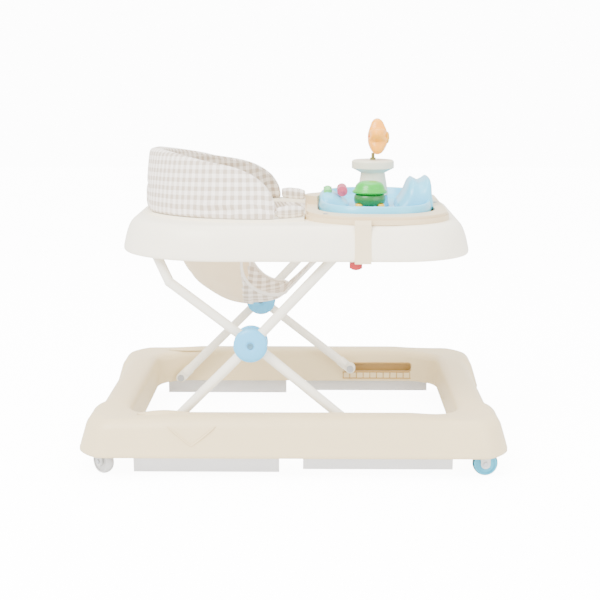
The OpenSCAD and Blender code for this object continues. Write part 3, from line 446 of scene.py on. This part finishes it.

# %% [markdown]
# ## Flower and turtle
# Both are hollow toys moulded in one piece. Five separate petals would meet in
# creases, so the flower is one closed skin: round its middle the edge swings
# out five times, and toward the faces it closes in. The turtle has a domed
# shell with a brim over a body, both turned; the body under the brim is a
# darker green, painted shade.

# %% Flower and turtle
FLOWER_X, FLOWER_Z = 142.0, 520.3
TURTLE = (125, -105, 0)
v = np.linspace(-np.pi / 2, np.pi / 2, 33)[:, None]
t = np.linspace(0, 2 * np.pi, 150, endpoint=False)[None]
petal = 0.5 + 0.5 * np.cos(5 * (t - np.pi / 2))
radius = (21.5 + 11.5 * petal ** 0.8) * np.abs(np.cos(v)) ** 0.62
thick = (17.2 - 3.5 * petal) * np.sin(v) - 1.2 * petal * np.cos(v)
flower_rings = np.stack([FLOWER_X + thick, radius * np.cos(t), FLOWER_Z + radius * np.sin(t)], -1)
flower = ring_mesh("flower_petals", flower_rings, FINISH["flower_orange"])
heart = lathe("flower_heart", [(0.5, -3), (10, -2.6), (10.4, 0), (9.6, 2.2), (6, 3.6), (0.5, 4.2)],
              (FLOWER_X + 16, 0, FLOWER_Z), FINISH["feet_yellow"], "x")
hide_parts("flower_head")
shell = lathe("turtle_dome", [(0.4, 455), (12, 454.4), (19, 452.2), (22.6, 448.6), (24.4, 444.5), (25.4, 441),
                              (28.4, 438.6), (29, 436.4), (27.6, 434.6), (22, 433.6), (0.4, 433.4)],
              TURTLE, FINISH["turtle_green"])
# The body's darker green is painted shade under the shell's brim
body = lathe("turtle_body", [(0.4, 434), (23, 434), (25.6, 430), (26.4, 424), (25, 418), (20, 414.6), (8, 413.4),
                             (4.2, 408.6), (0.4, 408.4)], TURTLE, GREEN_PAINTED_SHADE)
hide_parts("turtle_shell")
for piece, rider, slot in ((flower, "flower", "flower_orange"), (heart, "flower", "flower_orange"),
                           (shell, "turtle", "turtle_green"), (body, "turtle", "turtle_green")):
    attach(piece, rider)
print("flower across petals mm", round(float(radius.max() * 2), 1))

# %% [markdown]
# ## Crossing caps
# A domed cap closes each end of the two crossing pivots. It has a shallow
# dished middle with a screw in it, coloured a dark blue that is painted
# shade of the recess. A turned profile gives the soft edge that a bevelled
# disc would not, and its back stays inside the CAD cap.

# %% Caps and their screws
DOME = np.array([(0.4, -12.4), (26.6, -12.4), (27.4, -11.6), (27.5, -6.5), (27.2, -4.8), (25.6, -2.9),
                 (21, -1.1), (15, 0.1), (9.6, 0.7), (8.2, 0.5), (7.2, -0.6), (0.4, -1.0)])
SCREW = np.array([(5.2, -1.0), (5.2, -0.1), (4.4, 0.5), (3.0, 0.5), (2.6, -0.4), (0.3, -0.4)])
for y, o, rider in ((-232.5, -1, "front_frame"), (232.5, 1, "front_frame"),
                    (188.5, -1, "rear_frame"), (-188.5, 1, "rear_frame")):
    word = f"{rider}_{'right' if y < 0 else 'left'}"
    centre = (CROSS[0], y, CROSS[1])
    dome = lathe("cap_dome_" + word, DOME * [1, o], centre, FINISH["blue_cap"], "y")
    # The screw's dark blue is painted shade in the cap's dished middle
    ring = lathe("cap_screw_" + word, SCREW * [1, o], centre, BLUE_PAINTED_SHADE, "y")
    cad = ("cap_outer_" if rider == "front_frame" else "cap_inner_") + ("right" if y < 0 else "left")
    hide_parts(cad)
    for piece in (dome, ring):
        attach(piece, rider)
print("caps: 4, each", 2 * DOME[:, 0].max(), "mm across")


# %% [markdown]
# ## Base ring
# The base is one thin moulding that runs round as a rail and swells at the
# corners over the casters. It could be a box with rounded edges and four pods,
# but then the corners would meet the rail in creases. It is swept instead:
# every ring follows the walking opening and stands out from it by its place on
# the rail's section. The swelling stops at the base's own length and width.

# %% Line and width of the rail
HL, HW, CORNER = 267.0, 234.0, 58.0     # half length, half width and corner radius of the opening
REACH = np.array([344.6, 299.8])        # half length and half width the base may not pass
RAIL_W, SWELL_W = 66.0, 35.5            # width of the straight rail, and what a corner adds
CREST, CREST_DROP = 96.0, 4.5           # height of the crest, and how far it sinks at a corner
WALL = 3.0
R_IN, R_OUT = 14, 25                    # rounding of the crest's inner and outer edge
q = np.linspace(0, np.pi / 2, 40)
corner = np.stack([HL - CORNER + CORNER * np.cos(q), HW - CORNER + CORNER * np.sin(q)], -1)
swell = np.sin(2 * q) ** 1.2
up = np.vstack([[[HL, 0.0]], corner, [[0.0, HW]]])
loop = np.vstack([up, (up * [-1, 1])[-2::-1], (up * [-1, -1])[1:], (up * [1, -1])[-2:0:-1]])
quarter = np.r_[0, swell, 0]
swell = np.r_[quarter, quarter[-2::-1], quarter[1:], quarter[-2:0:-1]]
data = resample(np.column_stack([loop, swell * 0.001]), 480, closed=True)[0]
line, swell = data[:, :2], data[:, 2] * 1000
box = np.ones(17) / 17
swell = np.convolve(np.r_[swell[-8:], swell, swell[:8]], box, "valid")
swell /= swell.max()
core = np.stack([np.clip(line[:, 0], -(HL - CORNER), HL - CORNER),
                 np.clip(line[:, 1], -(HW - CORNER), HW - CORNER)], -1)
outward = (line - core) / np.linalg.norm(line - core, axis=1, keepdims=True)
width = RAIL_W + SWELL_W * swell
with np.errstate(divide="ignore"):
    reach = np.min((REACH - np.abs(core)) / np.abs(outward), axis=1)
width = np.minimum(width, reach - CORNER)
crest_z = CREST - CREST_DROP * swell
print("rail width mm from", round(float(width.min()), 1), "to", round(float(width.max()), 1))

# %% [markdown]
# The section is one list of rings, worked out twice: once as the outer face and
# once drawn in by the wall's thickness. Joined end to end they make a closed
# shell that is open underneath, as a real moulding is so that it leaves its tool.

# %% Section of the rail
WALL_ROWS = (34.3, 36, 42, 47, 51, 53.2, 55, 57.5, 61.5, 65.5, 68, 69.8, 72.2, 76, 80)


def rail(t):
    """Rings of the skin drawn in by t: up the inner wall, over the crest and
    down the sloping outer wall to its lip."""
    made = [(t + 0 * width, 0 * width + z) for z in WALL_ROWS]
    turn = np.linspace(0.2, np.pi / 2, 7)
    made += [(R_IN - (R_IN - t) * np.cos(a), crest_z - R_IN + (R_IN - t) * np.sin(a)) for a in turn]
    knee = width - 35
    made.append((R_IN + (knee - R_IN) * 0.5, crest_z - t))
    turn = np.linspace(np.pi / 2, 0.30, 10)
    made += [(knee + (R_OUT - t) * np.cos(a), crest_z - R_OUT + (R_OUT - t) * np.sin(a)) for a in turn]
    top = made[-1]
    for f in (0.3, 0.6, 0.85):
        made.append((top[0] + (width - 0.6 - t - top[0]) * f, top[1] + (42 - top[1]) * f))
    made += [(width + step - t, z + 0 * width) for step, z in ((-0.8, 41.5), (0.2, 40), (0.2, 34.8), (-0.6, 34.3))]
    return made


outer, inner = rail(0.0), rail(WALL)
rings = outer + inner[::-1] + outer[:1]
points = np.array([np.column_stack([line + outward * (u + 0 * width)[:, None], z + 0 * width]) for u, z in rings])
skin = ring_mesh("base_skin", points, FINISH["base_plastic"], caps=(False, False))
print("base rings", len(rings), "of", len(line), "points")

# %% [markdown]
# Each long side has a height slot that the slide pin runs in. A boolean would
# leave long thin faces, so the faces whose middle lies inside the slot are
# dropped instead, and the points left on the free edge move onto its outline.

# %% Height slots
SLOT_X0, SLOT_X1, SLOT_Z, SLOT_R = 97.5, 215.0, 61.5, 7.2
WALL_Y = HW + WALL / 2


def slot_gap(p):
    """Signed distance in the wall's plane to the slot's outline: the distance
    to the slot's middle line, less its radius. Off the wall it is large."""
    dx = np.maximum(np.maximum(SLOT_X0 - p[:, 0], p[:, 0] - SLOT_X1), 0)
    return np.hypot(dx, p[:, 2] - SLOT_Z) - SLOT_R + 1e3 * (np.abs(np.abs(p[:, 1]) - WALL_Y) > 2)


mesh = skin.data
co = np.empty(len(mesh.vertices) * 3)
mesh.vertices.foreach_get("co", co)
co = co.reshape(-1, 3) / MM
quads = np.empty(len(mesh.loops), int)
mesh.loops.foreach_get("vertex_index", quads)
quads = quads.reshape(-1, 4)
stay = slot_gap(co[quads].mean(1)) > 0
gone = np.unique(quads[~stay])
edge_v = np.intersect1d(gone, np.unique(quads[stay]))
nearest = np.clip(co[edge_v, 0], SLOT_X0, SLOT_X1)
dx = co[edge_v, 0] - nearest
dz = co[edge_v, 2] - SLOT_Z
far = np.hypot(dx, dz) + 1e-9
co[edge_v, 0] = nearest + dx / far * SLOT_R
co[edge_v, 2] = SLOT_Z + dz / far * SLOT_R
fresh = bpy.data.meshes.new("base_skin")
fresh.from_pydata((co * MM).tolist(), [], quads[stay].tolist())
fresh.materials.append(FINISH["base_plastic"])
fresh.shade_smooth()
skin.data = fresh
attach(skin, "base")
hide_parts("base_shell")
print("base skin faces", int(stay.sum()), "slot edge", len(edge_v))

# %% [markdown]
# ## Base details
# A low boss swells over each rear pivot, and a flattened V stands out on the
# wall beside it. They could be cut into the rail's own skin, but a small skin
# and a thin rib laid on the moulding keep its grid plain.

# %% Pivot bosses and V reliefs
for side, word in ((1, "left"), (-1, "right")):
    u, v = np.meshgrid(np.linspace(0, 1, 17), np.linspace(0, 2 * np.pi, 48, endpoint=False), indexing="ij")
    fall = np.cos(u * np.pi / 2)
    boss = np.stack([-206 + 46 * u * np.cos(v), side * (246 + 11 * u * np.sin(v)),
                     92.6 + 6.2 * fall ** 0.8], -1)
    piece = ring_mesh("pivot_boss_" + word, boss[::-1], FINISH["base_plastic"])
    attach(piece, "base")
    w = np.linspace(-1, 1, 40)
    rib = np.stack([-160 + 38.5 * w, 0 * w, 84 - 30 * (1 - np.abs(w) ** 1.1)], -1)
    rib[:, 1] = side * np.interp(rib[:, 2], [34, 60, 74, 84], [300.4, 294.6, 291.4, 288.2])
    taper = np.interp(np.abs(w), [0, 0.85, 1], [1.5, 1.2, 0.4])
    piece = tube("v_relief_" + word, rib, taper, FINISH["base_plastic"])
    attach(piece, "base")
print("bosses and V reliefs: 2 each")


# %% [markdown]
# ## Height slots in the base
# A rail is set into each inner wall: a rounded frame round the
# slot, a channel behind it and a comb of small cells below, which
# stiffens the rail. All of it is the base's cream darkened to tan as
# painted shade, and the channel is a sheet of painted shade where the
# hollow rail lies behind the slot.

# %% Slot rails
def bar(name, x0, x1, y0, y1, z0, z1, material, r=0.6):
    """A straight bar with rounded long edges: one rounded section, set at
    both ends and a little in from them."""
    q = np.linspace(0, 2 * np.pi, 24, endpoint=False)
    hy, hz = abs(y1 - y0) / 2, abs(z1 - z0) / 2
    ey = (y0 + y1) / 2 + (hy - r) * np.sign(np.cos(q)) + r * np.cos(q)
    ez = (z0 + z1) / 2 + (hz - r) * np.sign(np.sin(q)) + r * np.sin(q)
    rings = []
    for x, k in ((x0, 0.9), (x0 + r, 1.0), (x1 - r, 1.0), (x1, 0.9)):
        rings.append(np.stack([0 * q + x, (y0 + y1) / 2 + (ey - (y0 + y1) / 2) * k,
                               (z0 + z1) / 2 + (ez - (z0 + z1) / 2) * k], -1))
    return ring_mesh(name, rings, material)


FRAME_R = SLOT_R + 1.2
q = np.linspace(np.pi / 2, 3 * np.pi / 2, 16)
loop = np.vstack([np.stack([SLOT_X0 + FRAME_R * np.cos(q), SLOT_Z + FRAME_R * np.sin(q)], -1),
                  np.stack([SLOT_X1 - FRAME_R * np.cos(q), SLOT_Z - FRAME_R * np.sin(q)], -1)])
loop = resample(loop, 120, closed=True)[0]
for side, word in ((1, "left"), (-1, "right")):
    frame_line = np.stack([loop[:, 0], 0 * loop[:, 0] + side * 233.6, loop[:, 1]], -1)
    parts = [tube("slot_frame_" + word, frame_line, 1.3, SLOT_SHADE, closed=True)]
    parts.append(bar("slot_channel_" + word, 90, 224, side * 246, side * 243, 50, 73, SLOT_SHADE))
    parts.append(bar("comb_top_" + word, 88, 233, side * 233, side * 235, 50.6, 52.4, SLOT_SHADE))
    parts.append(bar("comb_foot_" + word, 88, 233, side * 232.6, side * 235, 38.4, 40.4, SLOT_SHADE))
    for k in range(12):
        x = 88.6 + k * 13.0
        parts.append(bar(f"comb_rib_{word}_{k}", x, x + 1.6, side * 232.8, side * 235, 39.5, 51.5, SLOT_SHADE, 0.5))
    for piece in parts:
        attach(piece, "base")
    print(word, "slot rail pieces", len(parts))


# %% [markdown]
# ## Padded backrest
# A real one is a plastic rim in a padded sleeve. The sleeve is drawn as a
# closed tube with an upright rounded section along a horseshoe, then a short
# cloth simulation with inner pressure and a little extra fabric gives it the
# fullness and creases. The sleeve's foot is held where it is sewn to the ring.

# %% Backrest sleeve
def section(half, low, high, count):
    """Upright rounded section as (across, height) points at even steps,
    starting at the outer foot, running up, over the top and down inside."""
    r = min(half, (high - low) / 2) * 0.98
    t = np.linspace(0, np.pi, 13)
    top = np.stack([r * np.cos(t) * half / r, high - r + r * np.sin(t)], -1)
    foot = np.array([[half * 0.9, low], [half, low + 4]])
    line = np.vstack([foot, top, [[-half, low + 4], [-half * 0.9, low]]])
    return resample(line, count, closed=True)[0]


def backrest_path(radius, step):
    """Horseshoe: straight from the front end, half round behind, straight
    back again, with the outward direction at every point."""
    a = np.linspace(np.pi / 2, 3 * np.pi / 2, 181)
    arc = np.stack([SEAT_X + radius * np.cos(a), radius * np.sin(a)], -1)
    line = np.vstack([[[BACK_FRONT - 1, radius]], arc, [[BACK_FRONT - 1, -radius]]])
    count = int((np.pi * radius + 76) / step)
    line, length = resample(line, count)
    out = np.stack([np.where(line[:, 0] > SEAT_X, 0, line[:, 0] - SEAT_X), line[:, 1]], -1)
    return line, out / np.linalg.norm(out, axis=1, keepdims=True), length


def sew(obj, held, pressure, extra, limit, frames=16):
    """Short cloth simulation without gravity. Held is the weight of each
    vertex that is sewn down, extra the share of spare fabric, and no vertex
    may end more than limit mm from where it began."""
    group = obj.vertex_groups.new(name="sewn")
    for index in np.nonzero(held > 0)[0].tolist():
        group.add([index], float(held[index]), "REPLACE")
    cloth = obj.modifiers.new("cloth", "CLOTH")
    s = cloth.settings
    s.quality, s.mass = 6, 0.2
    s.tension_stiffness = s.compression_stiffness = 12
    s.shear_stiffness, s.bending_stiffness = 4, 0.4
    s.use_pressure, s.uniform_pressure_force = True, pressure
    s.shrink_min = -extra
    s.effector_weights.gravity = 0
    s.vertex_group_mass = "sewn"
    cloth.collision_settings.use_collision = False
    cloth.collision_settings.use_self_collision = False
    cloth.point_cache.frame_start, cloth.point_cache.frame_end = 1, frames
    scene = bpy.context.scene
    before = np.empty(len(obj.data.vertices) * 3, np.float32)
    obj.data.vertices.foreach_get("co", before)
    for f in range(1, frames + 1):
        scene.frame_set(f)
    done = obj.evaluated_get(bpy.context.evaluated_depsgraph_get()).data
    after = np.empty_like(before)
    done.vertices.foreach_get("co", after)
    move = (after - before).reshape(-1, 3)
    far = np.linalg.norm(move, axis=1, keepdims=True) + 1e-9
    move *= np.minimum(1, limit * MM / far)
    obj.modifiers.remove(cloth)
    obj.vertex_groups.remove(group)
    obj.data.vertices.foreach_set("co", (before + move.ravel()).astype(np.float32))
    obj.data.update()
    scene.frame_set(1)
    print(obj.name, "largest move mm", round(float(far.max() / MM), 2))


def backrest_top(x):
    """Height of the upper edge: a straight fall from the back to the front,
    then a quarter round down to the front end."""
    line = BACK_TOP - 2 - 0.20 * np.clip(x + 238, 0, 400)
    f = np.clip((x + 112) / 83, 0, 1)
    return 411 + (line - 411) * np.sqrt(1 - f ** 2.6 * 0.985)


def lean(p):
    """The unfilled sleeve leans inward: the sides draw in by a share that
    grows almost evenly with the height, to the power 0.95, and the back moves
    in by 8 mm times the square of the height."""
    h = np.clip((p[..., 2] - BACK_Z) / 108, 0, 1)
    p = p.copy()
    p[..., 1] *= 1 - SIDE_LEAN * h ** 0.95
    p[..., 0] += 8 * h ** 2 * np.clip((-150 - p[..., 0]) / 90, 0, 1)
    return p


path, out, length = backrest_path(BACK_R - PAD_T / 2, 5.0)
K = 56
rings = []
for (x, y), o in zip(path, out):
    end = np.clip((x + 43) / 14, 0, 1)
    half = (PAD_T / 2 - 1.0) * math.sqrt(1 - 0.8 * end ** 2)
    sec = section(half, BACK_Z + 0.6, float(backrest_top(x)), K)
    rings.append(np.stack([x + sec[:, 0] * o[0], y + sec[:, 0] * o[1], sec[:, 1]], -1))
rings = lean(np.array(rings))
s = np.linspace(0, length * BACK_R / (BACK_R - 11), len(path))[:, None] + np.zeros(K)
climb = rings[:, :, 2] + np.where(np.arange(K)[None] > K // 2, 300.0, 0)
uv = np.stack([s, climb], -1)
push = ripple(rings * [1, 1, 0.35], (34, 27, 46, 22, 60), 4) * 0.9
low = np.clip((470 - rings[:, :, 2]) / 60, 0.15, 1)
away = np.concatenate([np.repeat(out[:, None], K, 1), np.zeros((len(path), K, 1))], -1)
rings = rings + (push * low)[..., None] * away
back = ring_mesh("backrest_cushion", rings, CLOTH["gingham"], uv=uv)
z = np.append(rings[:, :, 2].ravel(), [BACK_Z, BACK_Z])
sew(back, (z < BACK_Z + 4).astype(float), pressure=3.0, extra=0.05, limit=5.0)
sub = back.modifiers.new("smooth", "SUBSURF")
sub.levels = sub.render_levels = 1
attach(back, "tray")
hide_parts("seat_backrest")

# %% [markdown]
# A thin piping marks where the sleeve's outer wall meets its rounded top; it
# is a cord laid on the surface a little outside the crest.

# %% Piping along the upper edge
cord = np.column_stack([path + 8.2 * out, backrest_top(path[:, 0]) - 5.0])
cord = lean(cord[3:-3])
piping = tube("backrest_piping", cord, 1.5, CLOTH["binding"], k=10)
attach(piping, "tray")
print("piping points", len(cord))


# %% [markdown]
# ## Side rolls
# A short padded roll closes the gap between each end of the backrest and the
# play tray. It is so small that a simulation would add little: a tube with a
# full middle and drawn-in ends gets its creases from a ripple.

# %% Side rolls
for side, word in ((1, "left"), (-1, "right")):
    n, k = 16, 28
    u = np.linspace(0, 1, n)
    mid = np.stack([-28 + 44 * u, side * (171 - 31 * u), 409 - 1.0 * u], -1)
    r = 10.6 * (0.55 + 0.45 * np.sin(np.pi * np.clip(u, 0.06, 0.94)) ** 0.5)
    t = np.linspace(0, 2 * np.pi, k, endpoint=False)
    rings = np.stack([
        mid[:, :1] + 0 * t,
        mid[:, 1:2] + side * r[:, None] * np.cos(t) * 0.95,
        mid[:, 2:3] + r[:, None] * np.sin(t)], -1)
    rings = rings + ripple(rings, (15, 23, 11), 12)[..., None] * [0, 0.4, 0.4]
    uv = np.stack([54 * u[:, None] + 0 * t, r[:, None] * 0 + 8.3 * t], -1)
    roll = ring_mesh("side_roll_" + word, rings, CLOTH["gingham"], uv=uv)
    sub = roll.modifiers.new("smooth", "SUBSURF")
    sub.levels = sub.render_levels = 1
    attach(roll, "tray")
    if side > 0:
        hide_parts("seat_collar")
    print(word, "roll, radius mm", round(float(r.max()), 1))


# %% [markdown]
# ## Seat pouch
# The pouch hangs from the ring: a bowl of cloth with a leg opening each side
# and a strap between them. Behind the legs it is plain lining cloth, in front
# the gingham comes through. The bowl is a grid over a half ball whose front is
# flattened and whose underside rises in a straight line to the front; faces
# inside a leg opening are dropped and the edge is drawn onto the outline.

# %% Seat pouch
def leg_gap(p):
    """Signed distance to the leg opening: outside a round-ended bar across
    the walker, or nearer the middle than the strap's half width."""
    dx = np.maximum(LEG_X - p[:, 0], 0)
    bar = np.hypot(dx, p[:, 2] - LEG_Z) - LEG_R
    strap = np.interp(p[:, 0], [-95, -60, 5], [STRAP, STRAP - 12, STRAP - 30])
    return np.maximum(bar, strap - np.abs(p[:, 1]))


nu, nv = 176, 72
phi = np.linspace(0, 2 * np.pi, nu, endpoint=False)
w = np.linspace(0, 1, nv)
z_top = 394.0
drop = np.clip(w / 0.1, 0, 1) * (z_top - POUCH_Z)
theta = np.clip((w - 0.1) / 0.9, 0, 1) * (np.pi / 2 - 0.04)
rad = POUCH_R * np.cos(theta)
zz = z_top - drop - POUCH_R * np.sin(theta)
px = SEAT_X + rad[:, None] * np.cos(phi)
py = rad[:, None] * np.sin(phi)
pz = zz[:, None] + 0 * phi
front = POUCH_FRONT - px
px = POUCH_FRONT - np.where(front > 12, front, 12 * np.exp(np.clip((front - 12) / 12, -8, 0)))
floor = 237 + np.interp(px, [-75, -30, 60], [-6, 4, 92])
gap = pz - floor
pz = np.where(px > -75, floor + 0.5 * (gap + np.sqrt(gap ** 2 + 60)), pz)
grid = np.stack([px, py, pz], -1)
sag = np.sin(9 * phi)[None] * np.sin(np.pi * np.clip(w, 0, 1))[:, None] ** 2
fold = ripple(grid, (38, 55, 29, 80), 21)
outward = grid - [SEAT_X, 0, POUCH_Z]
outward /= np.linalg.norm(outward, axis=-1, keepdims=True)
grid = grid + outward * (0.9 * sag + 1.1 * fold - 1.2)[..., None]
verts = np.vstack([grid.reshape(-1, 3), grid[-1].mean(0)])
i, j = np.meshgrid(np.arange(nv - 1), np.arange(nu), indexing="ij")
j2 = (j + 1) % nu
faces = np.stack([i * nu + j, (i + 1) * nu + j, (i + 1) * nu + j2, i * nu + j2], -1).reshape(-1, 4)
keep = leg_gap(verts[faces].mean(1)) > 0
faces = faces[keep]
edges = np.vstack([faces[:, [a, (a + 1) % 4]] for a in range(4)])
key = np.sort(edges, 1)
_, first, times = np.unique(key[:, 0] * len(verts) + key[:, 1], return_index=True, return_counts=True)
rim = edges[first[times == 1]]
rim_v = np.unique(rim)
rim_v = rim_v[(verts[rim_v, 2] < z_top - 6) & (rim_v < nu * (nv - 1))]
q = verts[rim_v]
g = leg_gap(q)
h = 0.5
slope = np.stack([(leg_gap(q + h * e) - leg_gap(q - h * e)) / (2 * h) for e in np.eye(3)], -1)
verts[rim_v] = q - g[:, None] * slope
last_row = (nv - 1) * nu
fan = np.stack([np.full(nu, len(verts) - 1), last_row + np.arange(nu), last_row + (np.arange(nu) + 1) % nu], -1)
faces_all = faces[:, ::-1].tolist() + fan[:, ::-1].tolist()
mesh = bpy.data.meshes.new("seat_pouch_cloth")
mesh.from_pydata((verts * MM).tolist(), [], faces_all)
uv = np.stack([verts[:, 1], POUCH_R * np.arctan2(verts[:, 0] - SEAT_X, POUCH_Z + 60 - verts[:, 2])], -1)
loops = np.empty(len(mesh.loops), int)
mesh.loops.foreach_get("vertex_index", loops)
mesh.uv_layers.new(name="cloth").data.foreach_set("uv", (uv[loops] * MM).ravel())
mesh.materials.append(CLOTH["lining"])
mesh.materials.append(CLOTH["gingham"])
centre = np.array([verts[f].mean(0) for f in faces_all])
mesh.polygons.foreach_set("material_index", (centre[:, 0] > -88).astype(int).tolist())
mesh.shade_smooth()
mesh.update()
pouch = bpy.data.objects.new("seat_pouch_cloth", mesh)
bpy.context.scene.collection.objects.link(pouch)
shell = pouch.modifiers.new("cloth", "SOLIDIFY")
shell.thickness, shell.offset = 0.0016, -1
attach(pouch, "tray")
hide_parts("seat_pouch")
print("pouch faces", len(faces_all), "rim", len(rim_v))

# %% [markdown]
# Each leg opening is edged with the same binding. The free edge of the cloth
# is walked vertex by vertex, smoothed, and a cord is laid along it.

# %% Leg bindings
inside = np.isin(rim, rim_v).all(1)
for side, word in ((1, "left"), (-1, "right")):
    part = rim[inside & (verts[rim].mean(1)[:, 1] * side > 0)]
    step = {}
    for a, b in part.tolist():
        step.setdefault(a, []).append(b)
        step.setdefault(b, []).append(a)
    ends = [v for v, near in step.items() if len(near) == 1]
    here = ends[0] if ends else part[0, 0]
    walk, last = [here], None
    while True:
        ahead = [v for v in step[here] if v != last and v not in walk[-3:]]
        if not ahead or ahead[0] == walk[0]:
            break
        last, here = here, ahead[0]
        walk.append(here)
        if len(walk) > len(step):
            break
    line = verts[walk]
    closed = not ends
    for _ in range(3):
        if closed:
            line = (np.roll(line, 1, 0) + 2 * line + np.roll(line, -1, 0)) / 4
        else:
            line[1:-1] = (line[:-2] + 2 * line[1:-1] + line[2:]) / 4
    line, span = resample(line, 150, closed)
    trim = tube("leg_binding_" + word, line, 2.6, CLOTH["binding"], closed=closed)
    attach(trim, "tray")
    print(word, "binding", round(float(span)), "mm, closed", closed)

# %% [markdown]
# ## Room, light and camera
# A pale floor and three soft lights, as in a catalogue studio. World and floor
# are brighter to the camera than to the walker: the light path switches their
# strength, so the ground reads white and the plastic isn't washed out. The
# camera looks from the walker's right-hand side, a little above the tray.

# %% Studio
world = bpy.data.worlds.new("studio")
bpy.context.scene.world = world
world.use_nodes = True
back_light = world.node_tree.nodes["Background"]
back_light.inputs["Color"].default_value = linear("#FFFFFF")
seen = add(world.node_tree, "LightPath").outputs["Is Camera Ray"]
level = add(world.node_tree, "MapRange", {"Value": seen, "To Min": 2.6, "To Max": 13.0})
world.node_tree.links.new(level.outputs["Result"], back_light.inputs["Strength"])
floor_mat = moulded("studio_floor", "#FBFBFB", 0.7, grain=4, drift=0.004, bump=0.02)
xy = np.linspace(-6000, 6000, 9)
gx, gy = np.meshgrid(xy, xy, indexing="ij")
plane = np.stack([gx, gy, 0 * gx - 0.2], -1)
ground = ring_mesh("studio_ground", plane, floor_mat, wrap=False, caps=(False, False))
tree = floor_mat.node_tree
shader = tree.nodes["Principled BSDF"]
seen = add(tree, "LightPath").outputs["Is Camera Ray"]
glow = add(tree, "MapRange", {"Value": seen, "To Min": 0.0, "To Max": 11.0})
shader.inputs["Emission Color"].default_value = linear("#FFFFFF")
tree.links.new(glow.outputs["Result"], shader.inputs["Emission Strength"])


def softbox(name, where, aim, size, power):
    """Square area light that points from where to aim, both in metres."""
    lamp = bpy.data.lights.new(name, "AREA")
    lamp.shape, lamp.size, lamp.energy = "SQUARE", size, power
    obj = bpy.data.objects.new(name, lamp)
    d = np.array(aim, float) - np.array(where, float)
    obj.location = where
    obj.rotation_euler = (math.acos(-d[2] / np.linalg.norm(d)), 0, math.atan2(-d[0], d[1]))
    bpy.context.scene.collection.objects.link(obj)


softbox("key", (-1.2, -1.6, 2.2), (0, 0, 0.3), 1.4, 120)
softbox("fill", (1.8, -1.6, 1.0), (0, 0, 0.3), 1.8, 30)
softbox("top", (0.1, 0.3, 2.4), (0, 0, 0.2), 1.6, 40)

lens = bpy.data.cameras.new("camera")
lens.lens, lens.sensor_width = 82.3, 36
camera = bpy.data.objects.new("camera", lens)
camera.location = (0.037, -2.38, 0.655)
camera.rotation_euler = (math.radians(80), 0, math.radians(0.70))
bpy.context.scene.collection.objects.link(camera)
bpy.context.scene.camera = camera
